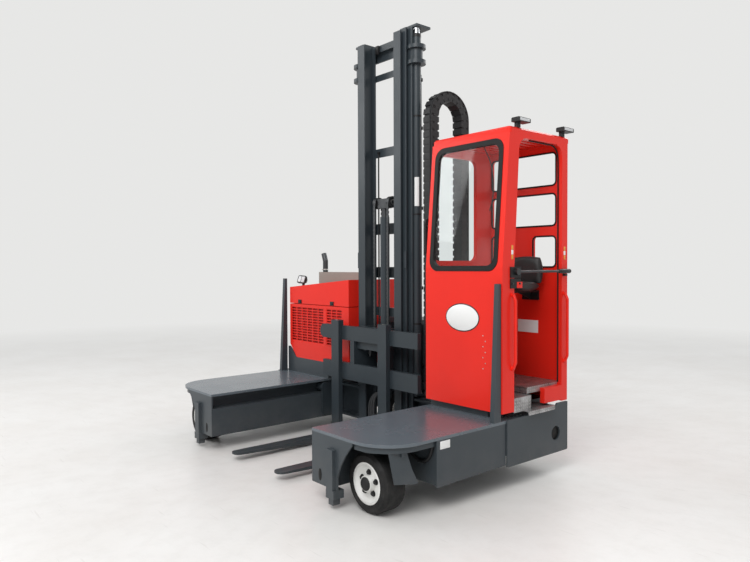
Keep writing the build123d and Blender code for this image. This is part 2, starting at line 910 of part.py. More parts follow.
with BuildPart() as seat_bracket:
    block(
        seat_bracket_x,
        (seat_front_y + 60, cab_back_y - cab_wall),
        (seat_low_z - 14.3, seat_low_z - 0.3),
    )
    block(
        seat_bracket_x,
        (cab_back_y - cab_wall - 12, cab_back_y - cab_wall),
        (seat_low_z - 80, seat_low_z),
    )
    with BuildSketch(Plane.YZ.offset((seat_bracket_x[0] + seat_bracket_x[1]) / 2 - 5)):
        with BuildLine():
            Polyline(
                (cab_back_y - cab_wall, seat_low_z - 10),
                (cab_back_y - cab_wall - 200, seat_low_z - 10),
                (cab_back_y - cab_wall, seat_low_z - 75),
                close=True,
            )
        make_face()
    extrude(amount=10)
save(seat_bracket, "seat_bracket")

# Console with its levers, and the steering wheel on its column.
console_x = (wall_in_x + 25.0, wall_in_x + 145.0)
console_front_y = cab_front_y + 100.0
console_back_y = console_front_y + 450.0
lever_pitch = 60.0
lever_h = 150.0

with BuildPart() as console:
    with BuildSketch(Plane.YZ.offset(console_x[0])):
        with BuildLine():
            Polyline(
                (console_front_y, cab_floor_z),
                (console_front_y, cab_sill_z - 263),
                (console_front_y + 250, cab_sill_z - 303),
                (console_back_y, cab_sill_z - 343),
                (console_back_y, cab_floor_z),
                close=True,
            )
        make_face()
        fillet(vertices().group_by(Axis.Y)[-1], radius=20)
    extrude(amount=console_x[1] - console_x[0])
    lever_x = (console_x[0] + console_x[1]) / 2
    lever_z = cab_sill_z - 303
    for lever in range(3):
        lever_y = console_front_y + 80 + lever * lever_pitch
        rod((lever_x, lever_y, lever_z), (lever_x, lever_y - 20, lever_z + lever_h), 7)
        with Locations((lever_x, lever_y - 20, lever_z + lever_h + 8)):
            Sphere(17)
save(console, "console")

wheel_x = cab_out_x - 370.0
wheel_centre = Vector(wheel_x, cab_front_y + 230.0, cab_sill_z - 193.0)
column_foot = Vector(wheel_x, cab_front_y + 90.0, cab_floor_z + 20.0)
column = wheel_centre - column_foot
steer_r = 128.0

with BuildPart() as steering_wheel:
    block(
        (wheel_x - 60, wheel_x + 60),
        (column_foot.Y - 50, column_foot.Y + 50),
        (cab_floor_z, cab_floor_z + 40),
    )
    rod(column_foot, column_foot + column * 0.85, 34)
    rod(column_foot + column * 0.8, wheel_centre, 22)
    with Locations(Plane(origin=wheel_centre, z_dir=column)):
        Torus(steer_r, 13)
        Cylinder(34, 30)
        for turn in (0, 120, 240):
            with Locations(Location((0, 0, 0), (0, 0, turn))):
                with Locations((steer_r / 2, 0, 0)):
                    Box(steer_r, 22, 12)
save(steering_wheel, "steering_wheel")

# Doorway: the bar's pivot box, the lifting bar and the grab handles.
pivot_y = door_front_y + 7.0
pivot_z = cab_sill_z - 28.0
pivot_half = 58.0
bar_r = 10.0
bar_x = cab_out_x + 22
bar_end_y = door_back_y + 18.0

with BuildPart() as bar_pivot:
    block(
        (cab_out_x, cab_out_x + 12),
        (pivot_y - pivot_half, pivot_y + pivot_half),
        (pivot_z - 43, pivot_z + 35),
    )
    block(
        (cab_out_x, cab_out_x + 10),
        (pivot_y - pivot_half, pivot_y + pivot_half),
        (pivot_z - 119, pivot_z - 50),
    )
    block(
        (cab_out_x, cab_out_x + 26),
        (bar_end_y - 8, bar_end_y + 18),
        (pivot_z - 38, pivot_z - 15 - clearance),
    )
save(bar_pivot, "bar_pivot")

with BuildPart() as safety_bar:
    rod((bar_x, pivot_y, pivot_z), (bar_x, bar_end_y, pivot_z), bar_r)
    rod((cab_out_x + 12 + bearing_gap, pivot_y, pivot_z), (bar_x + 14, pivot_y, pivot_z), 24)
    rod((bar_x, bar_end_y - 90, pivot_z), (bar_x, bar_end_y + 55, pivot_z), 15)
save(safety_bar, "safety_bar")

handle_r = 11.0
handle_bend = 45.0
handle_out = 32.0
handle_table = (
    # y, low z, high z
    (door_front_y - 25.0, cab_floor_z + 170.0, cab_floor_z + 700.0),
    (door_back_y + 28.0, cab_floor_z + 165.0, cab_floor_z + 692.0),
)

with BuildPart() as grab_handles:
    for handle_y, low, high in handle_table:
        grip_x = cab_out_x + handle_out
        for end_z, turn_z in ((low, low + handle_bend), (high, high - handle_bend)):
            rod((cab_out_x, handle_y, end_z), (cab_out_x + 14, handle_y, end_z), handle_r + 4)
            rod((cab_out_x + 12, handle_y, end_z), (grip_x, handle_y, turn_z), handle_r)
            with Locations((grip_x, handle_y, turn_z)):
                Sphere(handle_r)
        rod((grip_x, handle_y, low + handle_bend), (grip_x, handle_y, high - handle_bend), handle_r)
save(grab_handles, "grab_handles")

# Slim lamps on stalks at the roof's outer corners.
roof_lamp_x = cab_out_x - 38.0
roof_lamp_l = 215.0
roof_lamp_rise = 36.0

with BuildPart() as roof_lamps:
    for lamp_front_y in (roof_front_y + 65, cab_back_y - 100):
        block(
            (roof_lamp_x, roof_lamp_x + 70),
            (lamp_front_y, lamp_front_y + roof_lamp_l - 80),
            (cab_roof_z + roof_lamp_rise, cab_roof_z + roof_lamp_rise + 34),
        )
        fillet(edges().group_by(Axis.Z)[-1], radius=10)
        block(
            (roof_lamp_x + 8, roof_lamp_x + 33),
            (lamp_front_y + 25, lamp_front_y + 65),
            (cab_roof_z, cab_roof_z + roof_lamp_rise + 1),
        )
save(roof_lamps, "roof_lamps")

# Mirror beside the cab's inner window.
mirror_y = cab_front_y + 88.0
mirror_x = cab_in_x - 55.0

with BuildPart() as cab_mirror:
    with BuildSketch(Plane.YZ.offset(mirror_x)):
        with Locations((mirror_y, cab_sill_z + 250)):
            RectangleRounded(130, 300, 45)
    extrude(amount=28)
    fillet(edges().group_by(Axis.X)[0], radius=9)
    rod((mirror_x + 20, mirror_y - 45, cab_sill_z + 330), (cab_in_x, mirror_y - 45, cab_sill_z + 330), 10)
    rod((mirror_x + 20, mirror_y, cab_sill_z + 15), (cab_in_x, mirror_y, cab_sill_z + 15), 10)
    rod((mirror_x + 22, mirror_y, cab_sill_z + 6), (mirror_x + 22, mirror_y, cab_sill_z + 120), 9)
save(cab_mirror, "cab_mirror")

# Hose carrier: an energy chain that rises, turns over and falls behind the mast. Its links are
# blocks round a thinner band.
carrier_x = 550.0
carrier_w = 96.0
carrier_t = 62.0
carrier_near_y = 428.0
carrier_far_y = 790.0
carrier_top_z = 3090.0
carrier_foot_z = deck_z + cross_t + 60.0
carrier_tail_z = deck_z + cross_t + weight_h
link_pitch = 62.0
link_len = 46.0
link_t = 84.0
link_w = 104.0
turn_r = (carrier_far_y - carrier_near_y) / 2
turn_z = carrier_top_z - turn_r - link_t / 2
turn_y = (carrier_near_y + carrier_far_y) / 2

with BuildPart() as hose_carrier:
    with BuildSketch(Plane.YZ.offset(carrier_x - carrier_w / 2)):
        with Locations((turn_y, turn_z)):
            Circle(turn_r + carrier_t / 2)
            Circle(turn_r - carrier_t / 2, mode=Mode.SUBTRACT)
            with Locations((0, -turn_r)):
                Rectangle(4 * turn_r, 2 * turn_r, mode=Mode.SUBTRACT)
        for leg_y, leg_low in ((carrier_near_y, carrier_foot_z), (carrier_far_y, carrier_tail_z)):
            with Locations((leg_y, (leg_low + turn_z) / 2)):
                Rectangle(carrier_t, turn_z - leg_low)
    extrude(amount=carrier_w)
    with BuildSketch(Plane.YZ.offset(carrier_x - link_w / 2)):
        for leg_y, leg_low in ((carrier_near_y, carrier_foot_z), (carrier_far_y, carrier_tail_z)):
            for link in range(int((turn_z - leg_low) / link_pitch)):
                with Locations((leg_y, turn_z - (link + 0.5) * link_pitch)):
                    Rectangle(link_t, link_len)
        turn_links = round(pi * turn_r / link_pitch)
        for link in range(turn_links):
            angle = 180 * (link + 0.5) / turn_links
            with Locations(Location((turn_y, turn_z, 0), (0, 0, angle))):
                with Locations((turn_r, 0)):
                    Rectangle(link_t, link_len)
    extrude(amount=link_w)
    block(
        (carrier_x - link_w / 2, carrier_x + link_w / 2),
        (carrier_near_y - link_t / 2, cross_front + 30),
        (deck_z + cross_t, carrier_foot_z + 1),
    )
save(hose_carrier, "hose_carrier")

# Wheels. A wheel's profile is drawn about its own axle and turned round it.
wheel_table = (
    # name, x, y, tyre radius, width, rim radius
    ("left_front", front_wheel_x, front_wheel_y, front_wheel_r, front_wheel_w, front_rim_r),
    ("right_front", -front_wheel_x, front_wheel_y, front_wheel_r, front_wheel_w, front_rim_r),
    ("drive", 0.0, drive_wheel_y, drive_wheel_r, drive_wheel_w, drive_rim_r),
)

for wheel_name, axle_x, axle_y, tyre_r, width, rim_r in wheel_table:
    half = width / 2
    wheel_plane = Plane(origin=(axle_x, axle_y, tyre_r), x_dir=(0, 0, 1), z_dir=(1, 0, 0))
    axle = Axis((axle_x, axle_y, tyre_r), (0, 1, 0))
    with BuildPart() as tyre:
        # Sketch x runs up from the axle, sketch y runs along -Y.
        with BuildSketch(wheel_plane):
            with BuildLine():
                Polyline(
                    (rim_r, -half),
                    (tyre_r - 22, -half),
                    (tyre_r - 4, -half + 16),
                    (tyre_r, -half + 34),
                    (tyre_r, half - 34),
                    (tyre_r - 4, half - 16),
                    (tyre_r - 22, half),
                    (rim_r, half),
                    close=True,
                )
            make_face()
        revolve(axis=axle)
    save(tyre, f"{wheel_name}_tyre")
    with BuildPart() as rim:
        with BuildSketch(wheel_plane):
            with BuildLine():
                Polyline(
                    (spindle_r + bore_gap, -half + 8),
                    (rim_r, -half + 8),
                    (rim_r, half - 2),
                    (rim_r - 12, half),
                    (rim_r - 16, half - 12),
                    (rim_r - 34, half - 26),
                    (58.0, half - 26),
                    (52.0, half + 6),
                    (0.0, half + 6),
                    (0.0, half - 30),
                    (spindle_r + bore_gap, half - 30),
                    close=True,
                )
            make_face()
        revolve(axis=axle)
    save(rim, f"{wheel_name}_rim")

# Knuckles: a turning ring, a top plate over the tyre and one cheek that carries the spindle.
knuckle_table = (
    # name, x, y, tyre radius, width, ring top, ring radius
    (
        "left_knuckle", front_wheel_x, front_wheel_y, front_wheel_r, front_wheel_w,
        under_z - mount_plate, 120.0,
    ),
    (
        "right_knuckle", -front_wheel_x, front_wheel_y, front_wheel_r, front_wheel_w,
        under_z - mount_plate, 120.0,
    ),
    ("drive_fork", 0.0, drive_wheel_y, drive_wheel_r, drive_wheel_w, deck_z, 130.0),
)

for knuckle_name, knuckle_x, knuckle_y, tyre_r, width, ring_top, ring_r in knuckle_table:
    top_z = 2 * tyre_r + 12
    cheek_y = knuckle_y + width / 2 + 16
    with BuildPart() as knuckle:
        with BuildSketch(Plane.XY.offset(top_z)):
            with Locations((knuckle_x, knuckle_y)):
                Circle(ring_r)
        extrude(amount=ring_top - bearing_gap - top_z)
        block(
            (knuckle_x - 95, knuckle_x + 95),
            (knuckle_y - 60, cheek_y + knuckle_plate),
            (top_z, top_z + 14),
        )
        with BuildSketch(Plane.XZ.offset(-cheek_y - knuckle_plate)):
            with BuildLine():
                Polyline(
                    (knuckle_x - 95, top_z + 14),
                    (knuckle_x + 95, top_z + 14),
                    (knuckle_x + 95, tyre_r + 60),
                    (knuckle_x + 60, tyre_r - 60),
                    (knuckle_x - 60, tyre_r - 60),
                    (knuckle_x - 95, tyre_r + 60),
                    close=True,
                )
            make_face()
            fillet(vertices().group_by(Axis.Y)[0], radius=30)
        extrude(amount=knuckle_plate)
        rod((knuckle_x, cheek_y + 1, tyre_r), (knuckle_x, knuckle_y + width / 2 + 0.3, tyre_r), 55)
        rod((knuckle_x, cheek_y + 1, tyre_r), (knuckle_x, knuckle_y - width / 2 + 50, tyre_r), spindle_r)
    save(knuckle, knuckle_name)

# Nested masts. Each stage is a pair of rails whose rear flange runs inside the rail outside it.
inner_web = inner_x + 34.0
middle_web = inner_web + web + 36.0
outer_web = middle_web + web + 23.0
inner_back_y = inner_front_y + inner_depth
middle_front_y = inner_front_y + stage_front
middle_back_y = inner_back_y + stage_back
outer_front_y = middle_front_y + stage_front
outer_back_y = middle_back_y + stage_back
outer_side_x = outer_web + web

stage_table = (
    # name, front y, back y, web x, front flange x0, x1, rear flange x0, x1, bottom, top
    (
        "outer_mast", outer_front_y, outer_back_y, outer_web, middle_web + web + clearance,
        outer_web + 54.0, middle_web + web + clearance, outer_web + 28.0, mast_low, mast_top,
    ),
    (
        "middle_mast", middle_front_y, middle_back_y, middle_web, inner_web + web + clearance,
        middle_web + 45.0, inner_web + web + clearance, outer_web - clearance, mast_low + 10, mast_top + 6,
    ),
    (
        "inner_mast", inner_front_y, inner_back_y, inner_web, inner_x,
        inner_web + 54.0, inner_x, middle_web - clearance, mast_low + 20, mast_top - 15,
    ),
)
crossbar_table = (
    # name, front y, back y, half length, ((low z, high z), ...)
    (
        "outer_crossbars",
        outer_back_y - 13,
        outer_back_y + 2,
        middle_web + web + clearance,
        ((wheel_sweep_top, 560.0), (1500.0, 1600.0), (mast_top - 150, mast_top - 50)),
    ),
    (
        "middle_crossbars",
        middle_back_y - 13,
        middle_back_y - 2,
        inner_web + web + clearance,
        ((wheel_sweep_top, 560.0), (1900.0, 2000.0), (mast_top - 330, mast_top - 273)),
    ),
    (
        "inner_crossbars",
        inner_back_y - 10,
        inner_back_y,
        inner_x,
        ((wheel_sweep_top, 570.0), (1150.0, 1230.0), (2610.0, 2690.0), (mast_top - 75, mast_top - 15)),
    ),
)
for name, bar_y0, bar_y1, bar_half, levels in crossbar_table:
    with BuildPart() as crossbars:
        for bar_low, bar_high in levels:
            block((-bar_half, bar_half), (bar_y0, bar_y1), (bar_low, bar_high))
    save(crossbars, name)

# Guide rollers at the top of a stage run inside the rear flange of the next one.
guide_r = 22.0
guide_rollers = {
    # name: (x0, x1, back of the flange that it runs on)
    "outer_mast": (middle_web + web + 4, outer_web + 1, middle_back_y - flange),
    "middle_mast": (inner_web + web + 4, middle_web + 1, inner_back_y - flange),
}

# The lift cylinders stand behind the outer front flanges, each held by a collar near its top.
cylinder_x = outer_side_x + cylinder_r + fit_gap
cylinder_y = outer_front_y + flange + cylinder_r + fit_gap
collar_r = 80.0
collar_low_z = mast_top - 310.0
collar_high_z = mast_top - 180.0
collar_t = 32.0

for name, y0, y1, web_x, front0, front1, rear0, rear1, low, high in stage_table:
    with BuildPart() as mast:
        with BuildSketch(Plane.XY.offset(low)):
            for side in (-1, 1):
                with Locations((side * (front0 + front1) / 2, y0 + flange / 2)):
                    Rectangle(front1 - front0, flange)
                with Locations((side * (web_x + web / 2), (y0 + y1) / 2)):
                    Rectangle(web, y1 - y0)
                with Locations((side * (rear0 + rear1) / 2, y1 - flange / 2)):
                    Rectangle(rear1 - rear0, flange)
        extrude(amount=high - low)
        if name in guide_rollers:
            guide_x0, guide_x1, flange_y = guide_rollers[name]
            for side in (-1, 1):
                rod(
                    (side * guide_x0, flange_y - guide_r - bearing_gap, mast_top - 60),
                    (side * guide_x1, flange_y - guide_r - bearing_gap, mast_top - 60),
                    guide_r,
                )
        if name == "outer_mast":
            for side in (-1, 1):
                block(
                    (side * (outer_side_x - 1), side * (cylinder_x + cylinder_r)),
                    (outer_front_y + flange - 1, cylinder_y + cylinder_r),
                    (cylinder_foot_z - 20, cylinder_foot_z),
                )
                for plate_z in (collar_low_z, collar_high_z):
                    with BuildSketch(Plane.XY.offset(plate_z)):
                        with Locations((side * cylinder_x, cylinder_y)):
                            Circle(collar_r)
                            Circle(cylinder_r, mode=Mode.SUBTRACT)
                        with Locations((side * (outer_web - collar_r), cylinder_y)):
                            Rectangle(2 * collar_r, 2 * collar_r, mode=Mode.SUBTRACT)
                    extrude(amount=collar_t)
                with BuildSketch(Plane.XY.offset(collar_low_z)):
                    with Locations((side * cylinder_x, cylinder_y)):
                        Circle(cylinder_r + 16)
                        Circle(cylinder_r, mode=Mode.SUBTRACT)
                    with Locations((side * (outer_web - collar_r), cylinder_y)):
                        Rectangle(2 * collar_r, 2 * collar_r, mode=Mode.SUBTRACT)
                extrude(amount=collar_high_z - collar_low_z)
        if name == "middle_mast":
            for side in (-1, 1):
                block(
                    (side * middle_web, side * (cylinder_x + cylinder_r + 6)),
                    (outer_front_y + flange, cylinder_y + 125),
                    (high, high + mast_plate),
                )
                # Stop blocks on the front flanges.
                block(
                    (side * (front1 - 30), side * (front1 + 5)),
                    (y0 - 8, y0 + 1),
                    (1590, 1735),
                )
    save(mast, name)

with BuildPart() as lift_cylinders:
    for side in (-1, 1):
        with BuildSketch(Plane.XY.offset(cylinder_foot_z)):
            with Locations((side * cylinder_x, cylinder_y)):
                Circle(cylinder_r)
        extrude(amount=cylinder_top_z - cylinder_foot_z)
        with BuildSketch(Plane.XY.offset(cylinder_foot_z + 40)):
            with Locations((side * cylinder_x, cylinder_y)):
                Circle(rod_r + bore_gap)
        extrude(amount=cylinder_top_z - cylinder_foot_z, mode=Mode.SUBTRACT)
save(lift_cylinders, "lift_cylinders")

with BuildPart() as lift_rods:
    for side in (-1, 1):
        rod(
            (side * cylinder_x, cylinder_y, cylinder_foot_z + 60),
            (side * cylinder_x, cylinder_y, mast_top + 6),
            rod_r,
        )
save(lift_rods, "lift_rods")

# Reach trolley: end plates with rollers in the channels, and brackets to the outer mast.
plate_x = bay_half - trolley_gap
roller_z = channel_low + bearing_gap + roller_r
bracket_y0 = outer_front_y + flange
bracket_y1 = outer_back_y - flange
foot_plate_t = 24.0
foot_plate_w = 40.0
foot_strap_t = 16.0

with BuildPart() as mast_trolley:
    for side in (-1, 1):
        with BuildSketch(Plane.YZ.offset(side * (plate_x - trolley_plate / 2) - trolley_plate / 2)):
            with BuildLine():
                Polyline(
                    (trolley_front, trolley_low),
                    (trolley_front, trolley_high + 10),
                    (trolley_back, trolley_high + 10),
                    (trolley_back, trolley_high - 100),
                    (bracket_y1 + 10, trolley_low),
                    close=True,
                )
            make_face()
            fillet(vertices(), radius=25)
        extrude(amount=trolley_plate)
        for roller_y in (trolley_front + 52, trolley_back - 52):
            rod(
                (side * (plate_x - trolley_plate), roller_y, roller_z),
                (side * (bay_half + channel_depth - 12), roller_y, roller_z),
                roller_r,
            )
        for low, high in ((trolley_low, trolley_low + 20), (trolley_high - 20, trolley_high)):
            block((side * outer_side_x, side * (plate_x - 1)), (bracket_y0, bracket_y1), (low, high))
        block(
            (side * outer_side_x, side * (plate_x - 1)),
            (bracket_y1 - 14, bracket_y1),
            (trolley_low + 15, trolley_high - 15),
        )
        block(
            (side * outer_side_x, side * (outer_side_x + foot_strap_t)),
            (bracket_y0, bracket_y0 + foot_plate_w),
            (mast_low - foot_plate_t, trolley_low + 5),
        )
save(mast_trolley, "mast_trolley")

# The outer rails stand on a foot plate that hangs between the trolley's straps.
with BuildPart() as mast_foot:
    block(
        (-outer_side_x, outer_side_x),
        (bracket_y0, bracket_y0 + foot_plate_w),
        (mast_low - foot_plate_t, mast_low),
    )
save(mast_foot, "mast_foot")

# Free-lift cylinder with its ram, sheaves and leaf chains.
free_y = inner_front_y + inner_depth / 2
tie_y = inner_back_y - 10
tie_z = 1150.0
tie_h = 80.0

with BuildPart() as free_lift_cylinder:
    with BuildSketch(Plane.XY.offset(free_foot_z)):
        with Locations((0, free_y)):
            Circle(free_r)
    extrude(amount=free_top_z - free_foot_z)
    block((-40, 40), (free_y, tie_y), (wheel_sweep_top, wheel_sweep_top + 90))
    block((-chain_x - 20, chain_x + 20), (free_y + 20, tie_y), (tie_z, tie_z + tie_h))
    with BuildSketch(Plane.XY.offset(free_foot_z + 40)):
        with Locations((0, free_y)):
            Circle(free_rod_r + bore_gap)
    extrude(amount=free_top_z - free_foot_z, mode=Mode.SUBTRACT)
save(free_lift_cylinder, "free_lift_cylinder")

with BuildPart() as free_lift_ram:
    rod((0, free_y, free_foot_z + 60), (0, free_y, sheave_z - 40), free_rod_r)
    block((-62, 62), (free_y - 34, free_y + 34), (sheave_z - 50, sheave_z + 34))
    rod((-chain_x - 26, free_y, sheave_z), (chain_x + 26, free_y, sheave_z), 16)
    for side in (-1, 1):
        rod(
            (side * (chain_x - chain_w / 2), free_y, sheave_z),
            (side * (chain_x + chain_w / 2), free_y, sheave_z),
            sheave_r,
        )
        for edge in (-1, 1):
            edge_x = side * chain_x + edge * (chain_w / 2 + 2)
            rod((edge_x - 2, free_y, sheave_z), (edge_x + 2, free_y, sheave_z), sheave_r + chain_t)
        # Each chain rises behind the carriage, passes over its sheave and falls to its anchor.
        with BuildSketch(Plane.YZ.offset(side * chain_x - chain_w / 2)):
            with Locations((free_y, sheave_z)):
                Circle(sheave_r + chain_t)
            with Locations((free_y, sheave_z - 60)):
                Rectangle(2 * (sheave_r + chain_t), 120, mode=Mode.SUBTRACT)
        extrude(amount=chain_w)
        for strand_y, strand_low in (
            (free_y + sheave_r, tie_z + tie_h + 5),
            (free_y - sheave_r - chain_t, upper_bar_z - 40),
        ):
            block(
                (side * (chain_x - chain_w / 2 + 5), side * (chain_x + chain_w / 2 - 5)),
                (strand_y + 2, strand_y + chain_t - 2),
                (strand_low, sheave_z + 1),
            )
            # Link plates and pins along the strand.
            with BuildSketch(Plane.XZ.offset(-strand_y - chain_t)):
                for link in range(int((sheave_z - strand_low) / chain_pitch)):
                    with Locations((side * chain_x, strand_low + (link + 0.5) * chain_pitch)):
                        Rectangle(chain_w, chain_pitch * 0.62)
            extrude(amount=chain_t)
save(free_lift_ram, "free_lift_ram")

# Fork carriage: two bars, side plates with rollers in the inner mast, and the chain anchors.
plate_half = inner_x - 8.0
plate_t = 16.0
carriage_roller_r = (inner_depth - 2 * flange) / 2 - bearing_gap
anchor_y = free_y - sheave_r - chain_t - 5

with BuildPart() as carriage:
    with BuildSketch(Plane.XZ.offset(-bar_front_y - bar_t)):
        with BuildLine():
            Polyline(
                (bar_left_x, upper_bar_z),
                (bar_left_x, upper_bar_z + upper_bar_h),
                (bar_right_x, upper_bar_z + upper_bar_h),
                (bar_right_x, upper_bar_z),
                close=True,
            )
        make_face()
        fillet(vertices().group_by(Axis.X)[0], radius=upper_bar_h / 2 - 2)
    extrude(amount=bar_t)
    block(
        (bar_right_x + 44, bar_left_x),
        (bar_front_y, bar_front_y + bar_t),
        (lower_bar_z, lower_bar_z + lower_bar_h),
    )
    for side in (-1, 1):
        block(
            (side * (plate_half - plate_t), side * plate_half),
            (bar_front_y, free_y + 35),
            (lower_bar_z, upper_bar_z + upper_bar_h),
        )
        block(
            (side * (plate_half - plate_t), side * (plate_half + 48)),
            (bar_front_y + 5, bar_front_y + bar_t - 5),
            (lower_bar_z + lower_bar_h - 1, upper_bar_z + 1),
        )
        for carriage_roller_z in (lower_bar_z + 60, upper_bar_z + 60):
            rod(
                (side * (plate_half - 1), free_y, carriage_roller_z),
                (side * (inner_web - 4), free_y, carriage_roller_z),
                carriage_roller_r,
            )
        block(
            (side * (chain_x - 22), side * (chain_x + 22)),
            (bar_front_y + bar_t + 17, anchor_y),
            (upper_bar_z - 80, upper_bar_z + 10),
        )
    block(
        (-plate_half, plate_half),
        (bar_front_y + bar_t - 1, bar_front_y + bar_t + 23),
        (upper_bar_z - 70, upper_bar_z),
    )
    # Top tie between the side plates.
    block(
        (-plate_half, plate_half),
        (bar_front_y + bar_t + 23, bar_front_y + bar_t + 63),
        (upper_bar_z + upper_bar_h - 20, upper_bar_z + upper_bar_h),
    )
save(carriage, "carriage")

# Forks: an L drawn from the side, hooked over the carriage bars.
fork_table = (
    # name, centre x
    ("left_fork", fork_x[0]),
    ("right_fork", fork_x[1]),
)
heel_y = bar_front_y - fork_t
fork_top = fork_low + fork_t

for fork_name, centre_x in fork_table:
    with BuildPart() as fork:
        with BuildSketch(Plane.YZ.offset(centre_x - fork_w / 2)):
            with BuildLine():
                Polyline(
                    (fork_tip_y, fork_top),
                    (heel_y - 30, fork_top),
                    (heel_y, fork_top + 30),
                    (heel_y, fork_top_z),
                    (bar_front_y, fork_top_z),
                    (bar_front_y, fork_low + 20),
                    (bar_front_y - 20, fork_low),
                    (heel_y - 350, fork_low),
                    (fork_tip_y, fork_top - fork_tip_t),
                    close=True,
                )
            make_face()
        extrude(amount=fork_w)
        fillet(edges().filter_by(Axis.Z).group_by(Axis.Y)[0], radius=50)
        block(
            (centre_x - fork_w / 2, centre_x + fork_w / 2),
            (heel_y, bar_front_y + 14),
            (upper_bar_z + upper_bar_h + 0.3, fork_top_z),
        )
    save(fork, fork_name)
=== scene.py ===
"""Looks of the multidirectional forklift: finishes, small fittings, floor, light and camera."""

import json
from math import cos, pi, radians, sin

import bmesh
import bpy
from mathutils import Matrix, Vector

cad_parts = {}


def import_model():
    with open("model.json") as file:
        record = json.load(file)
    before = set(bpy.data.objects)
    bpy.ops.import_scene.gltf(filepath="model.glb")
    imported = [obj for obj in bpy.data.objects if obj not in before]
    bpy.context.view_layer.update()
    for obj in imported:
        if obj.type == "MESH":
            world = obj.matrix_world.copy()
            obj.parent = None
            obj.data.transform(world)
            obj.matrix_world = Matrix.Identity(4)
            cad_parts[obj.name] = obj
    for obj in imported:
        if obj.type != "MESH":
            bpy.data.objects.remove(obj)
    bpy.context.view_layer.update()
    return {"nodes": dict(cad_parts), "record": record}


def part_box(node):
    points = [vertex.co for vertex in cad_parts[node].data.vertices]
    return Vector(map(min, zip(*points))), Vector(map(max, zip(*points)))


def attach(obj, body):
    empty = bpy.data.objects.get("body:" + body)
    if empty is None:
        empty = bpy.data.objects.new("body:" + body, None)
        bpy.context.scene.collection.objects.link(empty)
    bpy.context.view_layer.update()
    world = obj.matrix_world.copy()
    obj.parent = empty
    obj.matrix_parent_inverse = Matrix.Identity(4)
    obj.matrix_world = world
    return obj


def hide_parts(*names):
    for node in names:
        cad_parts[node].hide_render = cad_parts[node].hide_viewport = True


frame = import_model()
nodes = frame["nodes"]


class Shader:
    """A principled material whose nodes are added by short calls."""

    def __init__(self, name, rough=0.5, metal=0.0, specular=0.5):
        self.material = bpy.data.materials.new(name)
        self.material.use_nodes = True
        self.tree = self.material.node_tree
        self.bsdf = next(n for n in self.tree.nodes if n.type == "BSDF_PRINCIPLED")
        self.bsdf.inputs["Roughness"].default_value = rough
        self.bsdf.inputs["Metallic"].default_value = metal
        self.bsdf.inputs["Specular IOR Level"].default_value = specular
        self.point = self.tree.nodes.new("ShaderNodeTexCoord").outputs["Object"]

    def node(self, kind, **values):
        """Add a node with some of its settings."""
        made = self.tree.nodes.new(kind)
        for key, value in values.items():
            setattr(made, key, value)
        return made

    def plug(self, socket, value):
        """Link an output, or set a plain value."""
        if isinstance(value, bpy.types.NodeSocket):
            self.tree.links.new(value, socket)
        else:
            socket.default_value = value

    def stretched(self, scale):
        """Object coordinates scaled by x, y, z."""
        mapping = self.node("ShaderNodeMapping")
        self.plug(mapping.inputs["Vector"], self.point)
        mapping.inputs["Scale"].default_value = scale
        return mapping.outputs["Vector"]

    def noise(self, scale, detail=5.0, rough=0.55, vector=None):
        """Cloudy noise between 0 and 1, with a larger scale for finer clouds."""
        made = self.node("ShaderNodeTexNoise")
        self.plug(made.inputs["Vector"], vector or self.point)
        made.inputs["Scale"].default_value = scale
        made.inputs["Detail"].default_value = detail
        made.inputs["Roughness"].default_value = rough
        return made.outputs["Fac"]

    def step(self, value, low, high, to_low=0.0, to_high=1.0):
        """Map a value's span to another span, clamped."""
        made = self.node("ShaderNodeMapRange")
        self.plug(made.inputs["Value"], value)
        made.inputs["From Min"].default_value = low
        made.inputs["From Max"].default_value = high
        made.inputs["To Min"].default_value = to_low
        made.inputs["To Max"].default_value = to_high
        return made.outputs["Result"]

    def math(self, operation, a, b=0.0):
        """One operation on one or two values."""
        made = self.node("ShaderNodeMath", operation=operation)
        self.plug(made.inputs[0], a)
        self.plug(made.inputs[1], b)
        return made.outputs["Value"]

    def mix(self, factor, a, b):
        """A colour between a and b."""
        made = self.node("ShaderNodeMix", data_type="RGBA")
        self.plug(made.inputs["Factor"], factor)
        self.plug(made.inputs["A"], a if isinstance(a, bpy.types.NodeSocket) else (*a, 1.0))
        self.plug(made.inputs["B"], b if isinstance(b, bpy.types.NodeSocket) else (*b, 1.0))
        return made.outputs["Result"]

    def axis(self, name):
        """One coordinate of the point."""
        made = self.node("ShaderNodeSeparateXYZ")
        self.plug(made.inputs[0], self.point)
        return made.outputs[name]

    def edges(self, radius):
        """Near 1 along outward edges, from how far a rounded normal leaves the true one."""
        rounded = self.node("ShaderNodeBevel", samples=4)
        rounded.inputs["Radius"].default_value = radius
        true = self.node("ShaderNodeNewGeometry").outputs["Normal"]
        dot = self.node("ShaderNodeVectorMath", operation="DOT_PRODUCT")
        self.plug(dot.inputs[0], rounded.outputs["Normal"])
        self.plug(dot.inputs[1], true)
        return self.step(dot.outputs["Value"], 0.99, 0.80)

    def bump(self, height, strength, distance):
        """Raise and lower the look of the surface."""
        made = self.node("ShaderNodeBump")
        self.plug(made.inputs["Height"], height)
        made.inputs["Strength"].default_value = strength
        made.inputs["Distance"].default_value = distance
        self.plug(self.bsdf.inputs["Normal"], made.outputs["Normal"])

    def surface(self, shader):
        """Use another shader than the principled one for the surface."""
        output = next(n for n in self.tree.nodes if n.type == "OUTPUT_MATERIAL")
        self.plug(output.inputs["Surface"], shader)

    def finish(self, colour, rough):
        """Set colour and roughness, and hand over the material."""
        self.plug(self.bsdf.inputs["Base Color"], colour)
        self.plug(self.bsdf.inputs["Roughness"], rough)
        return self.material


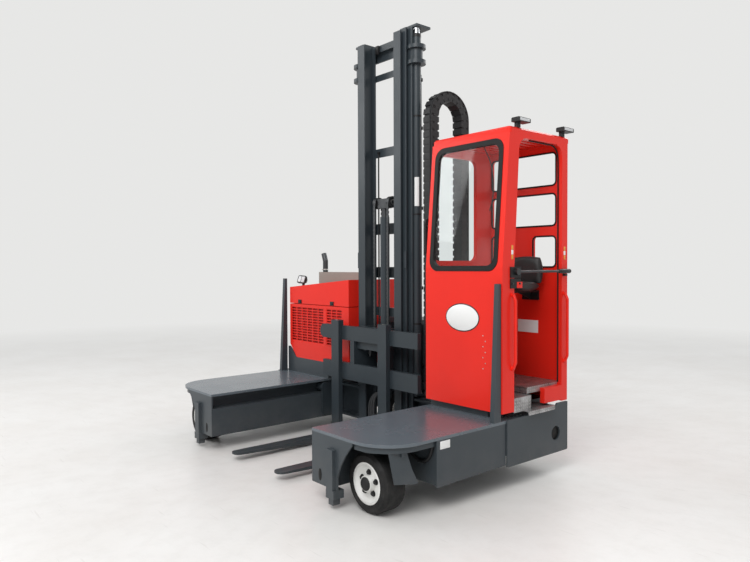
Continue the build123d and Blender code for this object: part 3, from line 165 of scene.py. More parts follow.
DUST = (0.36, 0.33, 0.29)
GRIME = (0.04, 0.04, 0.042)
BARE_STEEL = (0.26, 0.25, 0.24)


def tinted(colour, low, high):
    """Two shades of a colour."""
    return tuple(c * low for c in colour), tuple(min(1.0, c * high) for c in colour)


def paint(name, colour, worn, rough=0.35, dust_top=0.4, dust=0.2, wear=0.5, coat=0.1, specular=0.3):
    """Sprayed paint: faint clouds, rubbed edges, road dust low down and a light orange peel."""
    s = Shader(name, rough, specular=specular)
    clouds = s.step(s.noise(1.4, detail=6, rough=0.6), 0.3, 0.7)
    tint = s.mix(clouds, *tinted(colour, 0.95, 1.05))
    low = s.step(s.axis("Z"), dust_top, 0.0)
    dusty = s.math("MULTIPLY", low, s.step(s.noise(6, detail=8, rough=0.65), 0.35, 0.75))
    tint = s.mix(s.math("MULTIPLY", dusty, dust), tint, DUST)
    spots = s.step(s.noise(24, detail=6, rough=0.7), 0.50, 0.62)
    rubbed = s.math("MULTIPLY", s.edges(radius=0.003), spots)
    tint = s.mix(s.math("MULTIPLY", rubbed, wear), tint, worn)
    s.bump(s.noise(300, detail=2, rough=0.5), strength=0.04, distance=0.0004)
    s.bsdf.inputs["Coat Weight"].default_value = coat
    s.bsdf.inputs["Coat Roughness"].default_value = 0.12
    sheen = s.noise(5, detail=5, rough=0.6)
    return s.finish(tint, s.step(sheen, 0.3, 0.75, rough * 0.9, rough * 1.2))


def deck_paint(colour):
    """Walked-on deck paint: glossy, with a few long scratches and rubbed rims."""
    s = Shader("deck_paint", rough=0.28)
    clouds = s.step(s.noise(1.6, detail=7, rough=0.6), 0.3, 0.72)
    tint = s.mix(clouds, *tinted(colour, 0.94, 1.07))
    along_x = s.noise(7, detail=3, rough=0.4, vector=s.stretched((0.4, 16, 16)))
    along_y = s.noise(6, detail=3, rough=0.4, vector=s.stretched((18, 0.6, 18)))
    lines = s.math("MAXIMUM", s.step(along_x, 0.70, 0.73), s.step(along_y, 0.71, 0.74))
    patches = s.step(s.noise(1.1, detail=3, rough=0.5), 0.48, 0.62)
    scratched = s.math("MULTIPLY", patches, lines)
    tint = s.mix(s.math("MULTIPLY", scratched, 0.10), tint, (0.30, 0.32, 0.34))
    spots = s.step(s.noise(16, detail=6, rough=0.7), 0.45, 0.60)
    rubbed = s.math("MULTIPLY", s.edges(radius=0.005), spots)
    tint = s.mix(s.math("MULTIPLY", rubbed, 0.6), tint, BARE_STEEL)
    s.bump(s.noise(2.5, detail=2, rough=0.4), strength=0.02, distance=0.001)
    return s.finish(tint, s.step(s.noise(3, detail=6, rough=0.6), 0.3, 0.75, 0.22, 0.32))


def plastic(name, colour, rough=0.5, grain=0.15, scale=260):
    """Moulded plastic, rubber or casting with a fine grain."""
    s = Shader(name, rough, specular=0.25)
    tint = s.mix(s.noise(6, detail=5, rough=0.6), *tinted(colour, 0.8, 1.3))
    s.bump(s.noise(scale, detail=3, rough=0.6), strength=grain, distance=0.001)
    return s.finish(tint, s.step(s.noise(14, detail=4), 0.3, 0.7, rough * 0.9, rough * 1.15))


def tyre_rubber():
    """Solid tyre: black, with a dusty tread and scuffs."""
    s = Shader("tyre_rubber", rough=0.75, specular=0.3)
    near_floor = s.step(s.axis("Z"), 0.40, 0.0)
    dusty = s.math("MULTIPLY", s.step(s.noise(14, detail=8, rough=0.7), 0.40, 0.75), near_floor)
    tint = s.mix(s.noise(25, detail=5), (0.007, 0.007, 0.008), (0.014, 0.014, 0.014))
    tint = s.mix(s.math("MULTIPLY", dusty, 0.25), tint, (0.14, 0.13, 0.12))
    s.bump(s.noise(180, detail=6, rough=0.7), strength=0.35, distance=0.002)
    return s.finish(tint, s.step(s.noise(20, detail=4), 0.3, 0.7, 0.6, 0.9))


def metal(name, colour, rough=0.3, scratches=0.15, grime=0.25):
    """Bare metal with fine scratches and grime in patches."""
    s = Shader(name, rough, metal=1.0)
    patch = s.step(s.noise(8, detail=8, rough=0.65), 0.45, 0.75)
    tint = s.mix(s.math("MULTIPLY", patch, grime), colour, GRIME)
    lines = s.noise(60, detail=3, rough=0.5, vector=s.stretched((1, 1, 22)))
    s.bump(lines, strength=scratches, distance=0.0008)
    return s.finish(tint, s.step(patch, 0, 1, rough, min(1.0, rough + 0.25)))


def checker_plate():
    """Aluminium tread plate: short raised bars in two directions."""
    s = Shader("checker_plate", rough=0.32, metal=0.85)
    pitch = 0.034

    split = s.node("ShaderNodeSeparateXYZ")
    s.plug(split.inputs[0], s.point)
    joined = s.node("ShaderNodeCombineXYZ")
    s.plug(joined.inputs["X"], s.math("ADD", split.outputs["X"], split.outputs["Z"]))
    s.plug(joined.inputs["Y"], s.math("SUBTRACT", split.outputs["Y"], split.outputs["Z"]))

    def bars(angle, shift):
        """Bars in one direction, moved by a share of the pitch."""
        turned_by = s.node("ShaderNodeMapping")
        s.plug(turned_by.inputs["Vector"], joined.outputs[0])
        turned_by.inputs["Rotation"].default_value = (0, 0, angle)
        turned_by.inputs["Location"].default_value = (shift * pitch, shift * pitch, 0)
        parts = s.node("ShaderNodeSeparateXYZ")
        s.plug(parts.inputs[0], turned_by.outputs["Vector"])

        def wave(out, sharp):
            phase = s.math("MULTIPLY", parts.outputs[out], 2 * pi / pitch)
            return s.step(s.math("COSINE", phase), sharp, 1.0)

        return s.math("MULTIPLY", wave("X", -0.35), wave("Y", 0.72))

    raised = s.math("MAXIMUM", bars(pi / 4, 0.0), bars(-pi / 4, 0.5))
    between = s.math("SUBTRACT", 1.0, raised)
    dirt = s.math("MULTIPLY", between, s.step(s.noise(9, detail=8, rough=0.7), 0.3, 0.7))
    tint = s.mix(s.math("MULTIPLY", dirt, 0.9), (0.60, 0.60, 0.61), (0.07, 0.065, 0.06))
    dull = s.step(s.noise(5, detail=6, rough=0.7), 0.35, 0.7, 0.0, 0.5)
    tint = s.mix(dull, tint, (0.20, 0.19, 0.18))
    s.bump(raised, strength=0.9, distance=0.003)
    return s.finish(tint, s.step(dirt, 0, 1, 0.28, 0.6))


def glass():
    """Clear cab glazing that lets light straight through and keeps its sheen."""
    s = Shader("cab_glass", rough=0.02)
    clear = s.node("ShaderNodeBsdfTransparent")
    clear.inputs["Color"].default_value = (0.93, 0.96, 0.96, 1)
    sheen = s.node("ShaderNodeBsdfGlossy")
    sheen.inputs["Roughness"].default_value = 0.03
    blend = s.node("ShaderNodeMixShader")
    s.plug(blend.inputs[0], s.step(s.noise(2.2, detail=5, rough=0.6), 0.4, 0.8, 0.015, 0.05))
    s.plug(blend.inputs[1], clear.outputs[0])
    s.plug(blend.inputs[2], sheen.outputs[0])
    s.surface(blend.outputs[0])
    return s.material


def cellular(name, colours, scale, rough, strength=0.5):
    """Leather grain or reflector prisms: a surface broken into small cells."""
    s = Shader(name, rough)
    cells = s.node("ShaderNodeTexVoronoi", feature="DISTANCE_TO_EDGE")
    s.plug(cells.inputs["Vector"], s.point)
    cells.inputs["Scale"].default_value = scale
    s.bump(cells.outputs["Distance"], strength, distance=0.001)
    tint = s.mix(s.noise(9, detail=5), *colours)
    return s.finish(tint, s.step(s.noise(15), 0.3, 0.7, rough * 0.85, rough * 1.2))


RED = (0.78, 0.022, 0.012)
SLATE = (0.046, 0.056, 0.064)
DECK = (0.108, 0.130, 0.150)
# Frame paint darkened for the mast: painted shade standing in for the mast's own shadow and dimmer
# light.
MAST_SHADED = (0.030, 0.039, 0.046)
VINYL = ((0.010, 0.010, 0.011), (0.026, 0.025, 0.025))
materials = {
    "frame_grey": paint("frame_paint", SLATE, (0.16, 0.16, 0.16), rough=0.38, dust=0.16, coat=0.05),
    "deck_grey": deck_paint(DECK),
    "cab_red": paint(
        "cab_paint", RED, (0.30, 0.03, 0.02),
        rough=0.32, dust_top=0.7, dust=0.05, wear=0.4, coat=0.12, specular=0.2,
    ),
    "black_plastic": plastic("black_plastic", (0.014, 0.014, 0.015), rough=0.45),
    "rubber": plastic("seal_rubber", (0.005, 0.005, 0.005), grain=0.1, scale=90),
    "tyre": tyre_rubber(),
    "rim_white": paint(
        "rim_paint", (0.74, 0.74, 0.72), (0.30, 0.28, 0.26), rough=0.4, dust=0.35, wear=0.6,
    ),
    "steel": metal("dull_steel", (0.075, 0.078, 0.082), rough=0.42, scratches=0.2, grime=0.4),
    "chrome": metal("chrome_rod", (0.42, 0.43, 0.45), rough=0.14, scratches=0.03, grime=0.10),
    "aluminium": checker_plate(),
    "seat_black": cellular("seat_vinyl", VINYL, scale=380, rough=0.5, strength=0.35),
    "glass": glass(),
    "box_grey": paint(
        "box_paint", (0.27, 0.255, 0.225), (0.2, 0.19, 0.17), rough=0.45, wear=0.4, coat=0.05,
    ),
    "cast": plastic("cast_iron", (0.030, 0.031, 0.033), rough=0.6, grain=0.4, scale=120),
    "lamp": plastic("lamp_shell", (0.016, 0.016, 0.017), rough=0.4),
}
# Darker copy of the frame paint for the mast parts: the darkening is painted shade, not a different
# paint.
shaded_mast_paint = paint(
    "shaded_mast_paint", MAST_SHADED, (0.12, 0.12, 0.12), rough=0.38, dust_top=0.3, dust=0.1, wear=0.4, coat=0.05,
)
mast_nodes = (
    "outer_mast", "outer_crossbars", "middle_mast", "middle_crossbars", "inner_mast",
    "inner_crossbars", "lift_cylinders", "free_lift_cylinder", "carriage", "left_fork",
    "right_fork", "mast_trolley", "mast_foot",
)
record_slots = {part["node"]: part["material_slot"] for part in frame["record"]["subparts"]}
# Mast parts get the painted-shade copy of the frame paint instead of their slot's material.
for node_name, slot_name in record_slots.items():
    for material_slot in nodes[node_name].material_slots:
        material_slot.material = shaded_mast_paint if node_name in mast_nodes else materials[slot_name]

white_sign = paint(
    "white_sign", (0.80, 0.80, 0.79), (0.5, 0.5, 0.5),
    rough=0.3, dust_top=0.1, dust=0.1, wear=0.1, coat=0.3,
)
# Darker copy of the cab red for the sheet behind the grilles: the darkening is painted shade.
shaded_red_paint = paint(
    "shaded_red", (0.42, 0.014, 0.010), (0.10, 0.02, 0.02),
    rough=0.6, dust_top=0.7, dust=0.1, wear=0.2, coat=0.0,
)
brass = metal("brass_fitting", (0.60, 0.45, 0.20))
bright_steel = metal("plated_steel", (0.62, 0.61, 0.59), rough=0.28, scratches=0.1, grime=0.2)
hose_rubber = plastic("hose_rubber", (0.018, 0.018, 0.019), grain=0.25, scale=400)
hose_grey = plastic("hose_sleeve", (0.040, 0.042, 0.045), rough=0.55, grain=0.25, scale=400)
CLEAR = ((0.50, 0.51, 0.52), (0.66, 0.67, 0.68))
AMBER = ((0.55, 0.20, 0.03), (0.90, 0.36, 0.06))
REFLECTOR_RED = ((0.35, 0.01, 0.01), (0.60, 0.02, 0.02))
lens_clear = cellular("lamp_lens", CLEAR, scale=160, rough=0.12)
amber = cellular("reflector_amber", AMBER, scale=500, rough=0.15)
reflector_red = cellular("reflector_red", REFLECTOR_RED, scale=500, rough=0.15)

SIDES = (-1, 1)
FORWARD = (0, -1, 0)
BACKWARD = (0, 1, 0)
LEFTWARD = (1, 0, 0)
UPWARD = (0, 0, 1)


def piece(name, mesh, material, body, smooth=40):
    """Put a finished bmesh in the scene as a piece that rides on a body."""
    data = bpy.data.meshes.new(name)
    bmesh.ops.recalc_face_normals(mesh, faces=mesh.faces)
    mesh.to_mesh(data)
    mesh.free()
    made = bpy.data.objects.new(name, data)
    bpy.context.collection.objects.link(made)
    data.materials.append(material)
    data.shade_smooth()
    data.set_sharp_from_angle(angle=radians(smooth))
    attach(made, body)
    return made


def join_rings(mesh, pairs):
    """Faces between each two rings of as many points."""
    for lower, upper in pairs:
        for i in range(len(lower)):
            after = (i + 1) % len(lower)
            mesh.faces.new((lower[i], lower[after], upper[after], upper[i]))


def close_ends(mesh, rings):
    """Flat faces over the first and the last ring."""
    mesh.faces.new(list(reversed(rings[0])))
    mesh.faces.new(rings[-1])


def turned(mesh, profile, origin, axis, steps):
    """Add a surface of revolution: profile is (radius, height) pairs along the axis."""
    frame_z = Vector(axis).normalized()
    frame_x = frame_z.orthogonal().normalized()
    frame_y = frame_z.cross(frame_x)
    rings = []
    for radius, height in profile:
        ring = []
        for i in range(steps):
            angle = 2 * pi * i / steps
            offset = frame_x * (radius * cos(angle)) + frame_y * (radius * sin(angle))
            ring.append(mesh.verts.new(Vector(origin) + frame_z * height + offset))
        rings.append(ring)
    join_rings(mesh, zip(rings, rings[1:]))
    close_ends(mesh, rings)


def oval(mesh, profile, place, half_x, half_z, steps):
    """Add a turned shape of radius 1 that faces forward, drawn out to an oval at its place."""
    start = len(mesh.verts)
    turned(mesh, profile, (0, 0, 0), FORWARD, steps)
    mesh.verts.ensure_lookup_table()
    drawn_out = Matrix.Translation(place) @ Matrix.Diagonal((half_x, 1, half_z, 1))
    bmesh.ops.transform(mesh, matrix=drawn_out, verts=mesh.verts[start:])


def rounded_box(mesh, low, high, bevel):
    """Add a box with rounded edges between two corners."""
    low, high = Vector(low), Vector(high)
    made = bmesh.ops.create_cube(mesh, size=1.0)
    place = Matrix.Translation((low + high) / 2) @ Matrix.Diagonal((*(high - low), 1.0))
    bmesh.ops.transform(mesh, matrix=place, verts=made["verts"])
    edges = list({e for v in made["verts"] for e in v.link_edges})
    bmesh.ops.bevel(mesh, geom=edges, offset=bevel, segments=2, affect="EDGES", profile=0.6)


def curved(points, steps=6):
    """A smooth run through a list of points."""
    points = [Vector(p) for p in points]
    ends = [points[0] * 2 - points[1], *points, points[-1] * 2 - points[-2]]
    run = []
    for a, b, c, d in zip(ends, ends[1:], ends[2:], ends[3:]):
        for i in range(steps):
            t = i / steps
            line = b * 2 + (c - a) * t
            bend = (a * 2 - b * 5 + c * 4 - d) * t ** 2 + (b * 3 - a - c * 3 + d) * t ** 3
            run.append((line + bend) / 2)
    return [*run, points[-1]]


def tube(mesh, points, radius, steps=10, closed=False):
    """Add a round tube along a run of points."""
    count = len(points)
    rings = []
    side = None
    for i, point in enumerate(points):
        before = points[i - 1] if i or closed else point
        after = points[(i + 1) % count] if i < count - 1 or closed else point
        along = (after - before).normalized()
        side = along.orthogonal() if side is None else side - along * side.dot(along)
        side.normalize()
        other = along.cross(side)
        ring = []
        for k in range(steps):
            angle = 2 * pi * k / steps
            offset = side * (radius * cos(angle)) + other * (radius * sin(angle))
            ring.append(mesh.verts.new(point + offset))
        rings.append(ring)
    pairs = list(zip(rings, rings[1:]))
    if closed:
        pairs.append((rings[-1], rings[0]))
    join_rings(mesh, pairs)
    if not closed:
        close_ends(mesh, rings)


def hose(name, runs, radius, body, material=None, steps=10):
    """Hoses or pipes through lists of points, as one piece."""
    mesh = bmesh.new()
    for points in runs:
        tube(mesh, curved(points), radius, steps)
    return piece(name, mesh, material or hose_rubber, body)


def bolt_heads(name, places, axis, size, body, material=None):
    """Hexagon heads on washers at a list of places, all facing along one axis."""
    mesh = bmesh.new()
    washer = ((size * 0.75, 0), (size * 0.75, size * 0.12), (size * 0.70, size * 0.14))
    head = ((size * 0.56, size * 0.1), (size * 0.56, size * 0.55), (size * 0.44, size * 0.66))
    for place in places:
        turned(mesh, washer, place, axis, steps=20)
        turned(mesh, head, place, axis, steps=6)
    return piece(name, mesh, material or materials["steel"], body, smooth=30)


def boxes(name, corners, material, body, bevel=0.003):
    """Rounded boxes between pairs of corners, as one piece."""
    mesh = bmesh.new()
    for low, high in corners:
        rounded_box(mesh, low, high, bevel)
    return piece(name, mesh, material, body)


# Wheel nuts: radius of their circle, size, depth behind the rim's front face, and how far the
# first one is turned, as a share of the step from nut to nut.
NUT_CIRCLE = 0.072
NUT_SIZE = 0.026
NUT_DEPTH = 0.031
NUT_START = 0.25


def wheel_fittings(name, body, nuts):
    """Hub cap and wheel nuts on a rim's outer face, which looks towards -Y."""
    low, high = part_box(f"{name}_rim")
    centre = (low + high) / 2
    mesh = bmesh.new()
    cap = ((0.044, 0), (0.044, 0.006), (0.036, 0.014), (0.018, 0.019), (0.001, 0.02))
    turned(mesh, cap, (centre.x, low.y, centre.z), FORWARD, steps=40)
    piece(f"{name}_hub_cap", mesh, materials["lamp"], body)
    places = []
    for i in range(nuts):
        angle = 2 * pi * (i + NUT_START) / nuts
        x = centre.x + NUT_CIRCLE * cos(angle)
        z = centre.z + NUT_CIRCLE * sin(angle)
        places.append((x, low.y + NUT_DEPTH, z))
    bolt_heads(f"{name}_wheel_nuts", places, FORWARD, NUT_SIZE, body, materials["lamp"])


wheel_table = (
    # name, body, nuts
    ("left_front", "left_wheel", 5),
    ("right_front", "right_wheel", 5),
    ("drive", "drive_wheel", 8),
)
for wheel in wheel_table:
    wheel_fittings(*wheel)


def cab_details():
    """Signs, reflectors, rivets, trims, seal, wire, lamp lenses and bar fittings of the cab."""
    front_low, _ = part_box("cab_front_panel")
    _, frame_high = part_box("cab_door_frame")
    rear_low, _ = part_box("cab_rear_wall")
    face_y = front_low.y
    side_x = frame_high.x
    inner_y = rear_low.y

    # Blank oval sign with a dark rim.
    sign_x, sign_z = 1.150, 1.222
    half_x, half_z = 0.160, 0.098
    sign_layers = (
        # name, growth past the white oval, height above the panel, material
        ("oval_sign_rim", 0.008, 0.002, materials["lamp"]),
        ("oval_sign", 0.0, 0.003, white_sign),
    )
    for name, grow, rise, material in sign_layers:
        mesh = bmesh.new()
        disc = ((1.0, 0), (1.0, rise * 0.7), (0.985, rise))
        oval(mesh, disc, (sign_x, face_y, sign_z), half_x + grow, half_z + grow, steps=64)
        piece(name, mesh, material, "vehicle")

    # Blank plate on the rear wall, inside.
    plate_t = 0.002
    plate = ((1.080, inner_y - plate_t, 1.062), (1.280, inner_y, 1.164))
    boxes("cab_plate", [plate], white_sign, "vehicle", bevel=0.0006)

    # Reflectors on both door posts: amber, white, amber.
    post_ys = (0.258, 0.905)
    strip_z, strip_step = 1.655, 0.034
    strip_half, strip_t, strip_h = 0.010, 0.003, 0.032
    segments = {"side_reflectors": (amber, (0, 2)), "side_reflectors_white": (white_sign, (1,))}
    for name, (material, rows) in segments.items():
        strips = []
        for y in post_ys:
            for row in rows:
                z = strip_z + row * strip_step
                low = (side_x, y - strip_half, z)
                high = (side_x + strip_t, y + strip_half, z + strip_h)
                strips.append((low, high))
        boxes(name, strips, material, "vehicle", bevel=0.0008)

    # Two staggered rows of rivets on the front panel.
    rivet_x, rivet_top = 1.352, 1.10
    row_gap, rivet_step = 0.022, 0.040
    rivet = ((0.005, 0), (0.004, 0.002), (0.001, 0.003))
    mesh = bmesh.new()
    for i in range(7):
        place = (rivet_x + row_gap * (i % 2), face_y, rivet_top - rivet_step * i)
        turned(mesh, rivet, place, FORWARD, steps=12)
    piece("panel_rivets", mesh, bright_steel, "vehicle")

    # Rubber trims round the rear openings, on the wall's inner face.
    corner, trim_r = 0.035, 0.007
    arc_points, arc_step = 7, 15
    openings = (
        # low x, high x, low z, high z
        (1.228, 1.445, 1.597, 1.842),
        (0.803, 0.988, 1.597, 1.855),
        (0.803, 1.445, 1.925, 2.178),
        (0.803, 1.445, 2.243, 2.500),
    )
    mesh = bmesh.new()
    for low_x, high_x, low_z, high_z in openings:
        arcs = (
            # centre x, centre z, first angle
            (high_x - corner, high_z - corner, 0),
            (low_x + corner, high_z - corner, 90),
            (low_x + corner, low_z + corner, 180),
            (high_x - corner, low_z + corner, 270),
        )
        ring = []
        for x, z, start in arcs:
            for i in range(arc_points):
                angle = radians(start + arc_step * i)
                ring.append(Vector((x + corner * cos(angle), inner_y, z + corner * sin(angle))))
        tube(mesh, ring, trim_r, steps=8, closed=True)
    piece("rear_trims", mesh, materials["rubber"], "vehicle")

    # Seal along the doorway's inner edge.
    seal_inset, seal_r = 0.034, 0.006
    seal_line = (
        # y, z
        (0.868, 0.700), (0.868, 1.100), (0.868, 1.593), (0.868, 2.300), (0.866, 2.420),
        (0.846, 2.495), (0.790, 2.528), (0.700, 2.531), (0.500, 2.531),
    )
    seal = [(side_x - seal_inset, y, z) for y, z in seal_line]
    hose("door_seal", [seal], seal_r, "vehicle", materials["rubber"])

    # Loose wire by the windscreen, and two clips on the post.
    wire_r = 0.004
    wire = [
        (1.200, 0.330, 2.530), (1.225, 0.335, 2.470), (1.272, 0.340, 2.360),
        (1.296, 0.335, 2.220), (1.290, 0.330, 2.100), (1.268, 0.325, 2.020),
    ]
    hose("cab_wire", [wire], wire_r, "vehicle", steps=8)
    clip_zs, clip_half = (2.327, 1.930), 0.018
    clips = [((1.482, 0.262, z - clip_half), (1.490, 0.284, z + clip_half)) for z in clip_zs]
    boxes("cab_clips", clips, white_sign, "vehicle", bevel=0.002)

    # Lenses of the roof lamps.
    lamp_low, lamp_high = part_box("roof_lamps")
    bar_length, lens_margin, lens_out = 0.135, 0.012, 0.001
    lens_bottom, lens_top = lamp_high.z - 0.028, lamp_high.z - 0.008
    lenses = []
    for y in (lamp_low.y, lamp_high.y - bar_length):
        low = (lamp_high.x - lens_out, y + lens_margin, lens_bottom)
        high = (lamp_high.x + lens_out, y + bar_length - lens_margin, lens_top)
        lenses.append((low, high))
    boxes("roof_lamp_lenses", lenses, lens_clear, "vehicle", bevel=0.0004)

    # Bracket and bolts at the bar's pivot, and the black grip on the bar's end.
    bracket = ((side_x, 0.300, 1.447), (side_x + 0.012, 0.362, 1.492))
    boxes("bar_bracket", [bracket], materials["cab_red"], "vehicle", bevel=0.002)
    bolt_out, bolt_z, bolt_size = 0.010, 1.480, 0.014
    places = [(side_x + bolt_out, y, bolt_z) for y in (0.250, 0.330)]
    bolt_heads("pivot_bolts", places, LEFTWARD, bolt_size, "vehicle")
    _, bar_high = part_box("safety_bar")
    grip_x, grip_z, grip_length = 1.552, 1.565, 0.1345
    grip = ((0.0165, 0), (0.0175, 0.004), (0.0175, 0.128), (0.0150, 0.134))
    mesh = bmesh.new()
    turned(mesh, grip, (grip_x, bar_high.y - grip_length, grip_z), BACKWARD, steps=24)
    piece("bar_grip", mesh, materials["lamp"], "door_bar")


def seat_details():
    """Stuffed cushion and backrest that take the place of the plain seat."""
    low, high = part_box("seat")
    cushion_h, back_t, back_lean = 0.076, 0.060, 4
    back_inset, back_swell, back_gap, back_rise = 0.01, 0.028, 0.004, 0.05
    pinch, seam_depth = 0.10, 0.009
    mesh = bmesh.new()

    def pad(box_low, box_high, turn):
        """A box whose corners and edges are drawn in, as by a stuffed cover."""
        start = len(mesh.verts)
        made = bmesh.ops.create_cube(mesh, size=1.0)
        edges = list({e for v in made["verts"] for e in v.link_edges})
        bmesh.ops.subdivide_edges(mesh, edges=edges, cuts=9, use_grid_fill=True)
        mesh.verts.ensure_lookup_table()
        centre = (Vector(box_low) + Vector(box_high)) / 2
        half = (Vector(box_high) - Vector(box_low)) / 2
        for v in mesh.verts[start:]:
            p = v.co * 2
            xx, yy, zz = p.x ** 2, p.y ** 2, p.z ** 2
            drawn_in = 1 - pinch * (xx * zz + xx * yy + yy * zz)
            seams = 1 + seam_depth * (cos(p.x * pi * 2.0) - 1)
            stuffed = Vector((p.x * half.x, p.y * half.y, p.z * half.z)) * drawn_in * seams
            v.co = centre + turn @ stuffed

    cushion_high = (high.x, high.y - back_t, low.z + cushion_h)
    pad((low.x, low.y, low.z), cushion_high, Matrix.Identity(3))
    back_low = (low.x + back_inset, high.y - back_t - back_swell, low.z + back_rise)
    back_high = (high.x - back_inset, high.y - back_gap, high.z)
    pad(back_low, back_high, Matrix.Rotation(radians(back_lean), 3, "X"))
    seat = piece("seat_pads", mesh, materials["seat_black"], "vehicle", smooth=60)
    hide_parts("seat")


def hood_details():
    """Latches, grille backing, lamp lens, exhaust clamp and roof bolts of the engine side."""
    house_low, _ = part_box("engine_housing")
    face_y = house_low.y
    roof_z, roof_slope = 1.390, 0.0867

    latch_half, handle_half = 0.030, 0.019
    latches = bmesh.new()
    handles = bmesh.new()
    for x in (-1.250, -0.690):
        latch_low = (x - latch_half, face_y - 0.006, 1.224)
        latch_high = (x + latch_half, face_y, 1.262)
        rounded_box(latches, latch_low, latch_high, bevel=0.004)
        handle_low = (x - handle_half, face_y - 0.010, 1.232)
        handle_high = (x + handle_half, face_y - 0.004, 1.246)
        rounded_box(handles, handle_low, handle_high, bevel=0.002)
    piece("hood_latches", latches, materials["lamp"], "lid")
    piece("hood_latch_handles", handles, materials["black_plastic"], "lid")

    # Red sheet behind the grilles, in a darker red: a real inner sheet whose dark tone is painted
    # shade from inside the housing.
    sheet_start, sheet_end = house_low.x + 0.020, house_low.x + 0.930
    sheet_front, sheet_back = face_y + 0.020, face_y + 0.026
    sheet = ((sheet_start, sheet_front, 0.800), (sheet_end, sheet_back, 1.200))
    boxes("grille_backing", [sheet], shaded_red_paint, "vehicle", bevel=0.001)

    # Lens of the work lamp, which looks forward, a little up and to the left.
    lamp_inset, lamp_y, lamp_rise = 0.070, 0.400, 0.075
    roof = roof_z + lamp_inset * roof_slope
    facing = Vector((0.25, -1, 0.35)).normalized()
    across = (Vector(LEFTWARD) - facing * facing.x).normalized()
    lamp_up = facing.cross(across)
    place = Matrix((across, lamp_up, facing)).transposed().to_4x4()
    place.translation = Vector((house_low.x + lamp_inset, lamp_y, roof + lamp_rise))
    lamp_parts = (
        # name, low corner, high corner, material, slot
        ("work_lamp_lens", (-0.044, -0.032, -0.002), (0.044, 0.032, 0.003), lens_clear, "glass"),
        (
            "work_lamp_divider", (-0.003, -0.032, 0.001), (0.003, 0.032, 0.005),
            materials["lamp"], "lamp",
        ),
    )
    for name, low, high, material, slot in lamp_parts:
        mesh = bmesh.new()
        rounded_box(mesh, low, high, bevel=0.002)
        bmesh.ops.transform(mesh, matrix=place, verts=mesh.verts)
        piece(name, mesh, material, "lid")

    # Clamp with its lug, low on the exhaust pipe.
    pipe_low, pipe_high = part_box("exhaust_pipe")
    pipe_r, lug_half = 0.028, 0.008
    pipe_x = pipe_high.x - pipe_r
    pipe_y = (pipe_low.y + pipe_high.y) / 2
    clamp = ((0.0285, 0), (0.031, 0.001), (0.031, 0.013), (0.0285, 0.014))
    lug_low = (pipe_x - lug_half, pipe_y - 0.046, pipe_low.z + 0.021)
    lug_high = (pipe_x + lug_half, pipe_y - 0.028, pipe_low.z + 0.033)
    mesh = bmesh.new()
    turned(mesh, clamp, (pipe_x, pipe_y, pipe_low.z + 0.020), UPWARD, steps=28)
    rounded_box(mesh, lug_low, lug_high, bevel=0.001)
    piece("exhaust_clamp", mesh, bright_steel, "vehicle")

    # Bolts on the sloping roof.
    bolt_z, bolt_size = roof_z + 0.0005, 0.014
    heads = []
    for inset in (0.03, 0.985):
        for y in (0.650, 0.920):
            heads.append((house_low.x + inset, y, bolt_z + inset * roof_slope))
    bolt_heads("roof_bolts", heads, UPWARD, bolt_size, "vehicle")


